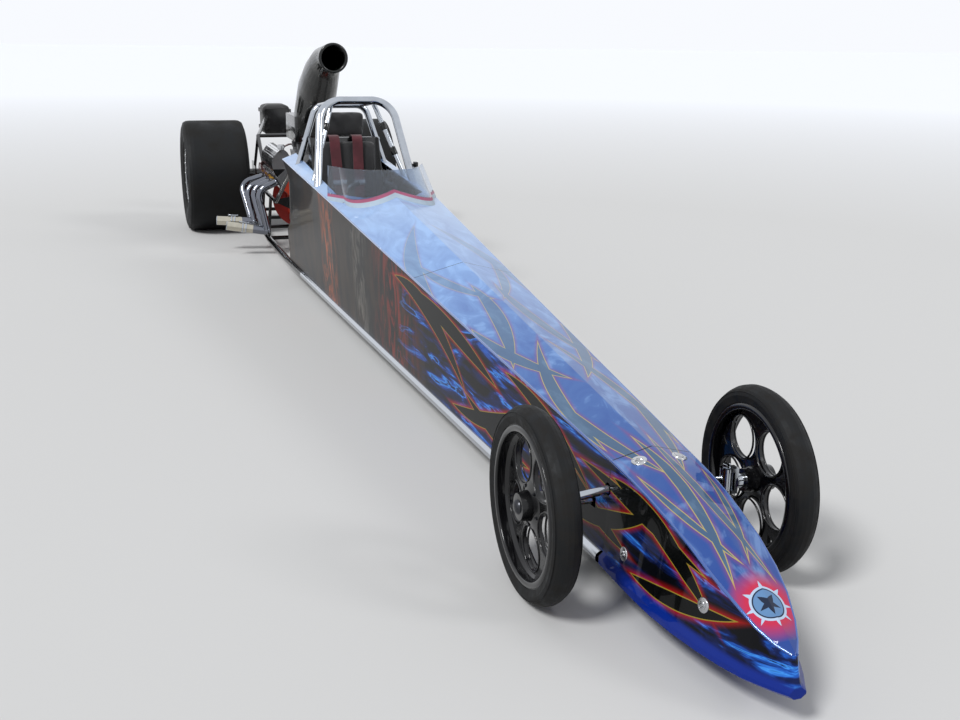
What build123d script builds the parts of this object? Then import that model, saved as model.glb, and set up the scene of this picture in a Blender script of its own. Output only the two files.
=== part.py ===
from build123d import *
import math
import os

os.makedirs("parts", exist_ok=True)

# Driving sizes in mm. Stations x are measured forward from the rear axle, y to the left, z up.
wheelbase = 6474
nose_overhang = 791
tail_overhang = 720
rear_axle_x = -(wheelbase + nose_overhang - tail_overhang) / 2

front_track = 708
front_tyre_r = 279.4
front_rim_r = 228.6
front_tyre_w = 80
rear_track = 1138
rear_tyre_r = 419
rear_rim_r = 203
rear_tyre_w = 464

seat_gap = 0.2
run_gap = 0.3
body_gap = 2
skin = 3

rail_r = 20.5
rail_z = 90
cross_r = 14
post_r = 11
upper_r = 16
cage_r = 19
hoop_r = 22
brace_r = 14

panel_rear_x = 1880
dash_x = 3240
hood_len = 1800
seam_nose_x = wheelbase + 6
seam_hood_x = seam_nose_x - hood_len

kingpin_inset = 104
kingpin_y = front_track / 2 - kingpin_inset
axle_z = 301
boss_z = 285
axle_r = 13
boss_r = 18
boss_h = 56
pin_r = 8
arm_back = 85
tie_z = 232
tie_r = 8
stud_r = 5

crank_z = 330
engine_len = 542
engine_rear_x = 720
engine_front_x = engine_rear_x + engine_len
carb_h = 90
manifold_h = 360

mouth_x = 1970
mouth_z = 1360
mouth_r = 76
scoop_wall = 5

# x, half width at the top edge, height of the top edge, height of the ridge, half width at the lower rail
body_stations = [
    (panel_rear_x, 324, 740, 868, 306),
    (dash_x, 296, 668, 748, 259),
    (seam_nose_x, 124, 388, 420, 136),
]

# x, half width at the lower rail centre
rail_line = [(-340, 258), (300, 280), (1120, 312), (panel_rear_x, 306), (dash_x, 259), (seam_nose_x - 10, 136)]

# distance ahead of the seam, half width at top edge, height of top edge, ridge height, rolled edge's half width and foot
nose_stations = [
    (0, 124, 388, 420, 150, 66),
    (120, 119, 376, 407, 151, 66),
    (220, 114, 361, 391, 150, 66),
    (320, 107, 340, 369, 146, 66),
    (420, 100, 316, 343, 135, 67),
    (520, 90, 282, 308, 118, 69),
    (600, 75, 251, 276, 101, 72),
    (670, 55, 217, 238, 80, 75),
    (720, 32, 195, 210, 57, 78),
    (758, 6, 184, 187, 36, 80),
    (785, 3, 112, 114, 22, 83),
]


def between(table, x, column):
    rows = sorted(table)
    for a, b in zip(rows, rows[1:]):
        if x <= b[0]:
            return a[column] + (b[column] - a[column]) * (x - a[0]) / (b[0] - a[0])
    return rows[-1][column]


def fused(shapes):
    return Part() + list(shapes)


def bar(p, q, r):
    d = Vector(*q) - Vector(*p)
    return Plane(origin=p, z_dir=d) * Cylinder(r, d.length, align=(Align.CENTER, Align.CENTER, Align.MIN))


def run(points, r, bend):
    path = FilletPolyline(*[Vector(*p) for p in points], radius=bend)
    return sweep(Plane(origin=path @ 0, z_dir=path % 0) * Circle(r), path=path)


def disc(x, y0, y1, z, r):
    return Pos(x, (y0 + y1) / 2, z) * Rot(90, 0, 0) * Cylinder(r, abs(y1 - y0))


def block(x0, x1, y0, y1, z0, z1):
    return Pos((x0 + x1) / 2, (y0 + y1) / 2, (z0 + z1) / 2) * Box(abs(x1 - x0), abs(y1 - y0), abs(z1 - z0))


def section(x, points):
    return Face(Wire.make_polygon([Vector(x, y, z) for y, z in points], close=True))


def side_plate(points, y0, y1):
    face = Face(Wire.make_polygon([Vector(x, min(y0, y1), z) for x, z in points], close=True))
    return extrude(face, amount=abs(y1 - y0), dir=(0, 1, 0))


def cross_plate(points, x0, x1):
    return extrude(section(x0, points), amount=x1 - x0, dir=(1, 0, 0))


def top_plate(points, z0, z1):
    face = Face(Wire.make_polygon([Vector(x, y, z0) for x, y in points], close=True))
    return extrude(face, amount=z1 - z0, dir=(0, 0, 1))


def turned(profile, y, side):
    # profile of (radius, offset outboard) turned about the wheel axis
    face = Face(Wire.make_polygon([Vector(r, 0, o) for r, o in profile], close=True))
    return Pos(0, y, 0) * Rot(-90 * side, 0, 0) * revolve(face, axis=Axis.Z)


def save(name, shape):
    export_step(Pos(rear_axle_x, 0, 0) * shape, "parts/" + name + ".step")


def rail_half(x):
    return between(rail_line, x, 1)


def top_half(x):
    return between(body_stations, x, 1)


def top_z(x):
    return between(body_stations, x, 2)


def ridge_z(x):
    return between(body_stations, x, 3)


# Lower frame: two bottom rails and their crossmembers, with a tow eye behind
bay_count = 5
front_post_x = wheelbase - 34
bay_x = [dash_x + 160 + i * (front_post_x - dash_x - 160) / bay_count for i in range(bay_count + 1)]
bay_post_x = 1040
cross_x = [-320, 120, 560, bay_post_x, 1960, 2330, 2750] + bay_x
rails = [run([(x, side * w, rail_z) for x, w in rail_line], rail_r, 500) for side in (-1, 1)]
crosses = [bar((x, -rail_half(x), rail_z), (x, rail_half(x), rail_z), cross_r) for x in cross_x]
tow_r = 12.5
tow_x = cross_x[0] - 64
tow_tab = side_plate([(tow_x - 24, 68), (cross_x[0], 78), (cross_x[0], 102), (tow_x - 24, 112)], -6, 6)
tow_tab = fillet(tow_tab.edges().filter_by(Axis.Y).sort_by(Axis.X)[:2], 18)
tow_tab = tow_tab - disc(tow_x, -10, 10, rail_z, tow_r)
lower = fused(rails + crosses + [tow_tab])
save("lower_frame", lower)


# Body skins: gable top panels and flat sides
def gable(x):
    hw, zt, zr = top_half(x), top_z(x), ridge_z(x)
    return section(x, [(-hw, zt), (0, zr), (hw, zt), (hw, zt - skin), (0, zr - skin), (-hw, zt - skin)])


notch = axle_r + 5
axle_hole = side_plate([(wheelbase + x * notch, axle_z + z * notch) for x, z in (
    (-1, -0.4), (-0.4, -1), (0.4, -1), (1, -0.4), (1, 0.4), (0.4, 1), (-0.4, 1), (-1, 0.4))], -400, 400)
slot_x = arm_back * 0.06 + tie_r + 6
tie_slot = side_plate([(wheelbase - arm_back + x, tie_z + z) for x, z in (
    (-slot_x, -16), (slot_x, -16), (slot_x, 16), (-slot_x, 16))], -400, 400)

half_gap = 0.15
hood = loft([gable(seam_hood_x + half_gap), gable(seam_nose_x - half_gap)], ruled=True)
save("hood_panel", hood)

cowl = loft([gable(panel_rear_x), gable(dash_x), gable(seam_hood_x - half_gap)], ruled=True)
rim_y = 236
cockpit_line = [(panel_rear_x - 80, -rim_y), (dash_x - 60, -rim_y), (dash_x + 150, -135), (dash_x + 245, 0),
                (dash_x + 150, 135), (dash_x - 60, rim_y), (panel_rear_x - 80, rim_y)]
cowl = cowl - top_plate(cockpit_line, 400, 1200)

panel_low_z = rail_z + rail_r + run_gap


def side_section(x, side):
    zt = top_z(x) - skin - run_gap
    points = [(top_half(x), zt), (rail_half(x), panel_low_z), (rail_half(x) - skin, panel_low_z),
              (top_half(x) - skin, zt)]
    return section(x, [(side * y, z) for y, z in points])


rear_bow = side_plate([(1500, 0), (1965, 0), (1930, 300), (2060, 380), (2130, 470), (2130, 590), (2060, 660),
                       (1885, top_z(1885)), (1500, 900)], -500, 500)
side_seam_x = 4000
for name, side in (("left", 1), ("right", -1)):
    panel = loft([side_section(x, side) for x in (panel_rear_x, dash_x, seam_nose_x - half_gap)], ruled=True)
    save("side_panel_" + name, panel - rear_bow - axle_hole - tie_slot)

# Nose cone: gable top running down to a rolled lower edge
roll_high = 112
roll_w = 13


def nose_section(row, t):
    ahead, hw, zt, zr, roll, low = row
    points = [(max(hw - t, 1), zt - t), (max(roll - roll_w - t, 1.5), roll_high - t), (roll - t, roll_high - 12),
              (roll - t, low + 10), (max(roll - roll_w - t, 1.5), low + t)]
    x = seam_nose_x + ahead
    return section(x, [(0, zr - 1.1 * t)] + points + [(-y, z) for y, z in reversed(points)])


nose = loft([nose_section(row, 0) for row in nose_stations], ruled=True)
hollow_rows = [(row[0] - 6 * (i > 0),) + row[1:] for i, row in enumerate(nose_stations[:-2])]
nose = nose - loft([nose_section(row, 4) for row in hollow_rows], ruled=True)
nose = nose - block(seam_nose_x - 1, seam_nose_x + half_gap, -300, 300, 0, 600) - axle_hole
save("nose_cone", nose)

# Upper frame: rails under the body's top edges, uprights down to the lower rails
rail_in = skin + run_gap + upper_r + 5


def upper_point(x, side=1):
    return (x, side * (top_half(x) - rail_in), top_z(x) - rail_in - 12)


upper_rear_x = 1930
uppers = []
for side in (-1, 1):
    uppers.append(run([upper_point(x, side) for x in (upper_rear_x, dash_x, front_post_x)], upper_r, 400))
    for x in [2330, 2750] + bay_x:
        uppers.append(bar((x, side * (rail_half(x) - 16), rail_z), upper_point(x, side), post_r))
for x in (bay_x[0], bay_x[2], front_post_x):
    uppers.append(bar(upper_point(x, -1), upper_point(x), post_r))
upper = fused(uppers) - lower

# Front axle: dropped tube on two plates of the frame, kingpin bosses at its ends
axle = run([(wheelbase, -kingpin_y, boss_z), (wheelbase, -kingpin_y + 130, axle_z), (wheelbase, kingpin_y - 130, axle_z),
            (wheelbase, kingpin_y, boss_z)], axle_r, 120)
bosses = [Pos(wheelbase, side * kingpin_y, boss_z) * Cylinder(boss_r, boss_h) for side in (-1, 1)]
plate_y = 92
plates = [side_plate([(front_post_x - 14, 112), (front_post_x + 22, 112), (wheelbase + 24, axle_z - 26),
                      (wheelbase + 24, axle_z + 26), (front_post_x - 4, axle_z + 30)], side * plate_y - 5,
                     side * plate_y + 5) for side in (-1, 1)]
ties = [bar((front_post_x, side * plate_y, rail_z), (front_post_x, side * plate_y, 125), 9) for side in (-1, 1)]
axle = fused([axle] + bosses + plates + ties)
axle = axle - [Pos(wheelbase, side * kingpin_y, boss_z) * Cylinder(pin_r + run_gap, boss_h + 20) for side in (-1, 1)]
axle = axle - lower - upper
save("front_axle", axle)
save("upper_frame", upper)

# Rear frame: plates that carry the rear end housing, engine bay rails, braces of the parachute mount
bay_z = 385
brace_top = (300, 262, 744)
pack_z0, pack_z1, pack_w, pack_front = 682, 917, 224, -482
housing_r = 45
rears = []
for side in (-1, 1):
    y = side * 262
    plate = side_plate([(-120, 105), (120, 105), (95, 520), (-95, 520)], y - 5, y + 5)
    rears.append(plate - disc(0, -400, 400, rear_tyre_r, housing_r + seat_gap))
    rears.append(run([(100, y, bay_z), (900, side * 286, bay_z), (1300, side * 286, bay_z), (2010, side * 284, 690)],
                     brace_r, 150))
    rears.append(bar((560, side * rail_half(560), rail_z), (640, side * 278, bay_z), post_r))
    rears.append(bar((bay_post_x, side * rail_half(bay_post_x), rail_z), (bay_post_x, side * 286, bay_z + 4), post_r))
    rears.append(bar((1960, side * (rail_half(1960) - 20), rail_z), (1960, side * 284, 672), 13))
    rears.append(run([(640, side * 279, bay_z), (672, side * 270, 529), (300, y, brace_top[2]),
                      (pack_front + 4, side * 85, pack_z1 - 90)], brace_r, 60))
    rears.append(bar((60, y, 500), (brace_top[0], y, brace_top[2]), post_r))
rears.append(bar((300, -262, 744), (300, 262, 744), brace_r))
rears.append(bar((1960, -284, 652), (1960, 284, 652), 13))
rears.append(block(pack_front, pack_front + 8, -100, 100, pack_z0 + 20, pack_z1 - 30))
rear = fused(rears) - lower - upper
save("rear_frame", rear)

# Belly pan on the crossmembers
pan_z = rail_z + cross_r + seat_gap


def pan_section(x):
    w = rail_half(x) - rail_r - 3
    return section(x, [(-w, pan_z), (w, pan_z), (w, pan_z + 2), (-w, pan_z + 2)])


pan = loft([pan_section(x) for x in (1975, dash_x, front_post_x - 16)], ruled=True)
save("belly_pan", pan - upper - rear - lower)

# Roll cage: main hoop behind the head, side bars, padded uprights, and the front hoop
main_hoop = run([(2165, -284, 680), (2150, -150, 1088), (2150, 150, 1088), (2165, 284, 680)], cage_r, 80)
halo_foot_x, halo_foot_y, halo_foot_z = 2850, 277, 680
halo_top_x, halo_top_y, halo_top_z = 2601, 205, 1143
halo = run([(halo_foot_x, -halo_foot_y, halo_foot_z), (halo_top_x, -halo_top_y, halo_top_z),
            (halo_top_x, halo_top_y, halo_top_z), (halo_foot_x, halo_foot_y, halo_foot_z)], hoop_r, 135)
side_bars = [bar((2150, side * 130, 1087), (halo_top_x, side * 118, halo_top_z - 5), brace_r) for side in (-1, 1)]
guards = [bar((2500, side * 121, 1132), (2690, side * 272, 690), brace_r) for side in (-1, 1)]
rest_bar = bar((2152, -240, 880), (2152, 240, 880), brace_r)
cage = fused([main_hoop, rest_bar] + side_bars + guards) - halo - upper - rear
halo = halo - upper
save("roll_cage", cage)
save("halo_hoop", halo)
for side in (-1, 1):
    cowl = cowl - bar((halo_foot_x, side * halo_foot_y, halo_foot_z), (halo_top_x, side * halo_top_y, halo_top_z),
                      hoop_r + body_gap)
    cowl = cowl - bar((2165, side * 284, 680), (2150, side * 150, 1088), cage_r + body_gap)
    cowl = cowl - bar((2500, side * 121, 1132), (2690, side * 272, 690), brace_r + body_gap)
save("cowl_panel", cowl)

# Windshield: a wrapped clear screen standing on the cowl
# height, side x, side half width, front x, front half width, centre x
screen_rows = [(600, 3300, 312, 3470, 240, 3745), (832, 3082, 262, 3170, 222, 3345)]


def screen_face(row):
    z, xs, ys, xf, yf, xm = row

    def rim(t):
        return [Line((xs, -ys + t, z), (xf, -yf + t, z)),
                ThreePointArc((xf, -yf + t, z), (xm - t, 0, z), (xf, yf - t, z)),
                Line((xf, yf - t, z), (xs, ys - t, z))]

    outer, inner = rim(0), rim(skin)
    caps = [Line(outer[0] @ 0, inner[0] @ 0), Line(outer[2] @ 1, inner[2] @ 1)]
    return Face(Wire(outer + inner + caps))


def under_cowl(x):
    hw, zt, zr = top_half(x), top_z(x), ridge_z(x)
    drop = 60 * (zr - zt) / hw
    return section(x, [(-hw - 60, zt + run_gap - drop), (0, zr + run_gap), (hw + 60, zt + run_gap - drop),
                       (hw + 60, 300), (-hw - 60, 300)])


screen = loft([screen_face(row) for row in screen_rows], ruled=True)
screen = screen - loft([under_cowl(x) for x in (panel_rear_x, dash_x, seam_hood_x)], ruled=True)
save("windshield", screen)

# Firewall behind the seat
wall_x = 2128
fire = [(top_half(wall_x) - 44, top_z(wall_x) - 60), (rail_half(wall_x) - 12, 480), (rail_half(wall_x) - 26, pan_z + 2.3)]
fire = cross_plate([(0, 800)] + [(170, 800)] + fire + [(-y, z) for y, z in reversed(fire)] + [(-170, 800)],
                   wall_x, wall_x + skin)
save("firewall", fire - upper - rear - cage)

# Seat shell, its pad and the head pad on the cage
seat_x = 2200
seat_z = pan_z + 2 + seat_gap
seat_w = 212
sheet_t = 5
shell = side_plate([(seat_x, 900), (seat_x + 60, 900), (seat_x + 200, 560), (seat_x + 650, 330),
                    (seat_x + 650, seat_z), (seat_x + 190, seat_z)], -seat_w, seat_w)
shell = shell - side_plate([(seat_x + sheet_t + 2, 960), (seat_x + 600, 960), (seat_x + 800, 300),
                            (seat_x + 800, seat_z + sheet_t), (seat_x + 190 + sheet_t, seat_z + sheet_t)],
                           -seat_w + sheet_t, seat_w - sheet_t)
pad_z = seat_z + sheet_t + seat_gap
pad = side_plate([(seat_x + 196, pad_z), (seat_x + 640, pad_z), (seat_x + 640, pad_z + 70), (seat_x + 280, pad_z + 90),
                  (seat_x + 85, 885), (seat_x + 10, 885)], -seat_w + 22, seat_w - 22)
pad = fillet(pad.edges().filter_by(Axis.Y).sort_by(Axis.Z)[-2:], 20)
head_pad = block(2152 + brace_r + seat_gap, 2240, -130, 130, 905, 1050)
head_pad = fillet(head_pad.edges(), 18)
head_pad = head_pad + block(2152 - brace_r, 2200, -100, 100, 880 + brace_r + seat_gap, 1000)
head_pad = head_pad - cage
save("seat_shell", shell)
save("seat_pads", fused([pad - shell, head_pad]))

# Steering column with its bracket bar, and the pedals
hub_x, hub_z = 3009, 600
column_end = (bay_x[0], 0, 562)
bracket_t = (column_end[2] - rail_z) / (upper_point(bay_x[0])[2] - rail_z)
bracket_y = (rail_half(bay_x[0]) - 16) * (1 - bracket_t) + upper_point(bay_x[0])[1] * bracket_t
column = fused([bar((hub_x + 1, 0, hub_z), column_end, 14),
                bar((bay_x[0], -bracket_y, column_end[2]), (bay_x[0], bracket_y, column_end[2]), post_r - 2)]) - upper
save("steering_column", column)
pedal_x = 4150
pedal_bar_z = pan_z + 2 + seat_gap + 11
treads = [block(pedal_x + 32, pedal_x + 44, y - 35, y + 35, 340, 430) for y in (-90, 90)]
levers = [bar((pedal_x, y, pedal_bar_z), (pedal_x + 40, y, 380), 9) for y in (-90, 90)]
pedals = fused(treads + levers + [bar((pedal_x, -150, pedal_bar_z), (pedal_x, 150, pedal_bar_z), 11)])
save("pedals", pedals)

# Steering wheel: open-topped rim on a hub with two spokes
rim_x = hub_x - 24
wheel_rim = run([(rim_x, 70, hub_z + 120), (rim_x, 140, hub_z + 95), (rim_x, 140, hub_z - 85), (rim_x, -140, hub_z - 85),
                 (rim_x, -140, hub_z + 95), (rim_x, -70, hub_z + 120)], 12, 45)
hub = bar((hub_x - 31, 0, hub_z + 3), (hub_x, 0, hub_z), 36)
spokes = [block(rim_x - 5, rim_x + 5, -140, 140, hub_z - 14, hub_z + 14),
          block(rim_x - 5, rim_x + 5, -14, 14, hub_z - 85, hub_z)]
save("steering_wheel", fused([wheel_rim, hub] + spokes))

# Engine: block, pan, heads and covers along the crankshaft
block_half = [(115, -110), (125, 30), (235, 140), (120, 255), (60, 200)]
head_half = [(235, 140), (120, 255), (158, 318), (272, 212)]
flange_half = [(271, 209), (237, 143), (246, 138.5), (280, 204.5)]
cover_half = [(266, 218), (164, 312.9), (168, 342), (190, 383), (212, 402), (238, 402), (262, 384), (294, 338),
              (300, 312), (292, 262)]


def v_shape(points, side, x0, x1):
    return cross_plate([(side * y, crank_z + z) for y, z in points], x0, x1)


engine = cross_plate([(y, crank_z + z) for y, z in block_half]
                     + [(-y, crank_z + z) for y, z in reversed(block_half)], engine_rear_x, engine_front_x)
save("engine_block", engine)
oil_pan = cross_plate([(-112, crank_z - 110), (-112, 175), (-90, 130), (90, 130), (112, 175), (112, crank_z - 110)],
                      engine_rear_x + 10, engine_front_x - 20)
save("oil_pan", oil_pan)
heads = fused(v_shape(head_half, side, engine_rear_x + 6, engine_front_x - 6) for side in (-1, 1))
covers = fused(v_shape(cover_half, side, engine_rear_x + 14, engine_front_x - 14) for side in (-1, 1))
save("cylinder_heads", heads)
save("valve_covers", covers)
ports = [(-60, 201), (60, 201), (118, 256), (90, 300), (100, manifold_h), (-100, manifold_h), (-90, 300), (-118, 256)]
manifold = cross_plate([(y, crank_z + z) for y, z in ports], 780, 1200)
save("intake_manifold", manifold)

# Two four-barrel carburettors, each a body on a base with a throttle lever
carb_z = crank_z + manifold_h
carb_top = carb_z + carb_h
carb_x = (885, 1095)
carbs = []
for x in carb_x:
    body = fused([block(x - 78, x + 78, -82, 82, carb_z, carb_z + 18), block(x - 62, x + 62, -62, 62, carb_z, carb_top),
                  block(x - 34, x + 34, -96, 96, carb_z + 26, carb_z + 66)])
    carbs.append(body)
save("carburettors", fused(carbs))

# Air scoop: round mouth above the cage, a widening trunk that falls back to a tray on the carburettors
# x, z, forward lean of the section in degrees, half width, half height
trunk_rows = [
    (mouth_x - 130, mouth_z, 0, mouth_r + 5, mouth_r + 5),
    (1700, 1325, 18, 98, 104),
    (1560, 1255, 36, 114, 136),
    (1400, 1148, 54, 128, 170),
    (1045, 875, 90, 117, 180),
]


trunk_sides = 28


def trunk(t):
    faces = []
    for x, z, lean, hw, hh in trunk_rows:
        c, s = math.cos(math.radians(lean)), math.sin(math.radians(lean))
        rim = []
        for i in range(trunk_sides):
            a = 2 * math.pi * i / trunk_sides
            high = (hh - t) * math.sin(a)
            rim.append(Vector(x - s * high, (hw - t) * math.cos(a), z + c * high))
        faces.append(Face(Wire.make_polygon(rim, close=True)))
    return loft(faces, ruled=True)


tray_low, tray_high = carb_top + seat_gap, carb_top + 170
tray_box = block(790, 1230, -128, 128, tray_low, tray_high)
tray_box = fillet(tray_box.edges().filter_by(Axis.Z), 40)
mouth = bar((mouth_x - 131, 0, mouth_z), (mouth_x, 0, mouth_z), mouth_r + 5)
lip = bar((mouth_x - 24, 0, mouth_z), (mouth_x, 0, mouth_z), mouth_r + 16)
lip = fillet(lip.edges(), 9)
scoop = fused([mouth, lip, trunk(0), tray_box])
tray_in = block(794, 1226, -124, 124, tray_low + 4, tray_high - 4)
tray_in = fillet(tray_in.edges().filter_by(Axis.Z), 36)
throats = [block(x - 48, x + 48, -48, 48, tray_low - 10, tray_low + 10) for x in carb_x]
scoop = scoop - bar((mouth_x - 170, 0, mouth_z), (mouth_x + 5, 0, mouth_z), mouth_r) - trunk(scoop_wall) - tray_in
scoop = scoop - throats
save("air_scoop", scoop)

# Front drive and motor plate
plate_x = engine_front_x + seat_gap
plate_t = 8
plate_half = [(110, 195), (135, 92), (262, 70), (296, 70), (296, 40), (262, 36), (135, -30), (110, -110)]
motor = cross_plate([(y, crank_z + z) for y, z in plate_half] + [(-y, crank_z + z) for y, z in reversed(plate_half)],
                    plate_x, plate_x + plate_t)
save("motor_plate", motor - lower - rear)
drive_x = plate_x + plate_t + seat_gap
pump = [block(drive_x, drive_x + 46, -66, 66, crank_z + 70, crank_z + 180),
        bar((drive_x, 0, crank_z + 120), (drive_x + 74, 0, crank_z + 120), 48),
        bar((drive_x, 0, crank_z), (drive_x + 60, 0, crank_z), 86),
        bar((drive_x, -95, crank_z + 30), (drive_x + 52, -95, crank_z + 30), 30),
        block(drive_x, drive_x + 30, -95, 0, crank_z - 20, crank_z + 60)]
save("front_drive", fused(pump))

# Exhaust headers: four pipes a side, paired into two outlets
# port x, bend y, bend z, foot x, foot y, foot z
pipe_r = 24
pipe_rows = [(1195, 396, 450, 1228, 344, 176), (1060, 415, 446, 1172, 362, 176), (925, 440, 434, 1022, 402, 207),
             (790, 462, 455, 962, 414, 207)]
# root x, root y, root z, tip x, tip y, tip z, radius
outlet_rows = [(1212, 347, 173, 1172, 615, 213, 30), (1004, 405, 206, 955, 658, 217, 31)]
for name, side in (("left", 1), ("right", -1)):
    pieces = [v_shape(flange_half, side, engine_rear_x + 26, engine_front_x - 16)]
    for port_x, bend_y, bend_z, foot_x, foot_y, foot_z in pipe_rows:
        pieces.append(run([(port_x, side * 244, 514), (port_x, side * bend_y, bend_z), (foot_x, side * foot_y, foot_z)],
                          pipe_r, 78))
        pieces.append(Pos(foot_x, side * foot_y, foot_z) * Sphere(pipe_r + 1))
    for x0, y0, z0, x1, y1, z1, r in outlet_rows:
        pieces.append(bar((x0, side * y0, z0), (x1, side * y1, z1), r))
        pieces.append(bar((x0 - 0.5 * (x0 - x1), side * (y0 + y1) / 2, (z0 + z1) / 2),
                          (x0 - 0.56 * (x0 - x1), side * (y0 + 0.56 * (y1 - y0)), z0 + 0.56 * (z1 - z0)), r + 3))
    header = fused(pieces)
    for x0, y0, z0, x1, y1, z1, r in outlet_rows:
        dx, dy, dz = (x1 - x0) / (y1 - y0), 1, (z1 - z0) / (y1 - y0)
        header = header - bar((x1 - 120 * dx, side * (y1 - 120 * dy), z1 - 120 * dz),
                              (x1 + 5 * dx, side * (y1 + 5 * dy), z1 + 5 * dz), r - 3)
    save("header_" + name, header - heads - rear - lower)

# Transmission and rear end housing
bell = loft([Plane(origin=(engine_rear_x - seat_gap, 0, crank_z), z_dir=(-1, 0, 0)) * Circle(228),
             Plane(origin=(560, 0, crank_z), z_dir=(-1, 0, 0)) * Circle(125)], ruled=True)
gear = fused([bell, bar((560, 0, crank_z), (340, 0, crank_z), 104), block(350, 540, -90, 90, crank_z - 130, crank_z - 60),
              bar((340, 0, crank_z), (232, 0, 352), 58)])
save("transmission", gear)
end_y = 350
shaft_r = 22
housing = fused([bar((0, -end_y, rear_tyre_r), (0, end_y, rear_tyre_r), housing_r),
                 Pos(0, 0, rear_tyre_r) * Sphere(140), bar((0, 0, rear_tyre_r), (232, 0, rear_tyre_r - 66), 70)]
                + [disc(0, side * (end_y - 12), side * end_y, rear_tyre_r, 78) for side in (-1, 1)])
housing = housing - disc(0, -500, 500, rear_tyre_r, shaft_r + run_gap) - gear - rear
save("rear_end_housing", housing)

# Rear axle shaft with flanges and brake discs, calipers on the housing
flange_y = 437
shafts = [disc(0, -flange_y, flange_y, rear_tyre_r, shaft_r)]
calipers = []
for side in (-1, 1):
    shafts.append(disc(0, side * (flange_y - 12), side * flange_y, rear_tyre_r, 76))
    shafts.append(disc(0, side * 376, side * 388, rear_tyre_r, 150))
    z0, z1 = rear_tyre_r - 55, rear_tyre_r + 55
    caliper = fused([block(-176, -95, side * 352, side * 412, z0, z1), block(-150, -60, side * 352, side * 362, z0 + 10, z1 - 10)])
    caliper = caliper - disc(0, side * 371, side * 393, rear_tyre_r, 155)
    caliper = caliper + block(-72, -40, side * (end_y + seat_gap), side * 362, z0 + 10, z1 - 10)
    calipers.append(caliper)
save("rear_axle_shaft", fused(shafts))
save("brake_calipers", fused(calipers))

# Rear wheels and slicks
for name, side in (("left", 1), ("right", -1)):
    y = side * rear_track / 2
    hub_off = flange_y + seat_gap - rear_track / 2
    r = rear_rim_r
    rim = turned([(r - 14, -200), (r + 12, -200), (r + 12, -192), (r, -186), (r, 186), (r + 12, 192), (r + 12, 200),
                  (r - 14, 200), (r - 14, hub_off + 74), (r - 34, hub_off + 40), (110, hub_off + 20), (64, hub_off + 46),
                  (50, hub_off + 46), (50, hub_off + 12), (0.01, hub_off + 12), (0.01, hub_off), (r - 50, hub_off),
                  (r - 14, hub_off + 40)], 0, side)
    studs = [Rot(0, i * 72, 0) * Pos(57, side * (hub_off + 16), 0) * Rot(90, 0, 0) * Cylinder(9, 22) for i in range(5)]
    save("rear_wheel_" + name, Pos(0, y, rear_tyre_r) * rim)
    h = rear_tyre_w / 2
    b = r + 12 + seat_gap
    t = rear_tyre_r
    tyre = turned([(r + seat_gap, -185), (b, -190), (b, -201), (270, -h + 14), (330, -h + 2), (375, -h + 3), (t - 14, -h + 14),
                   (t - 3, -h + 34), (t, -h + 60), (t, h - 60), (t - 3, h - 34), (t - 14, h - 14), (375, h - 3),
                   (330, h - 2), (270, h - 14), (b, 201), (b, 190), (r + seat_gap, 185)], 0, side)
    save("rear_tyre_" + name, Pos(0, y, rear_tyre_r) * tyre)

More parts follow.
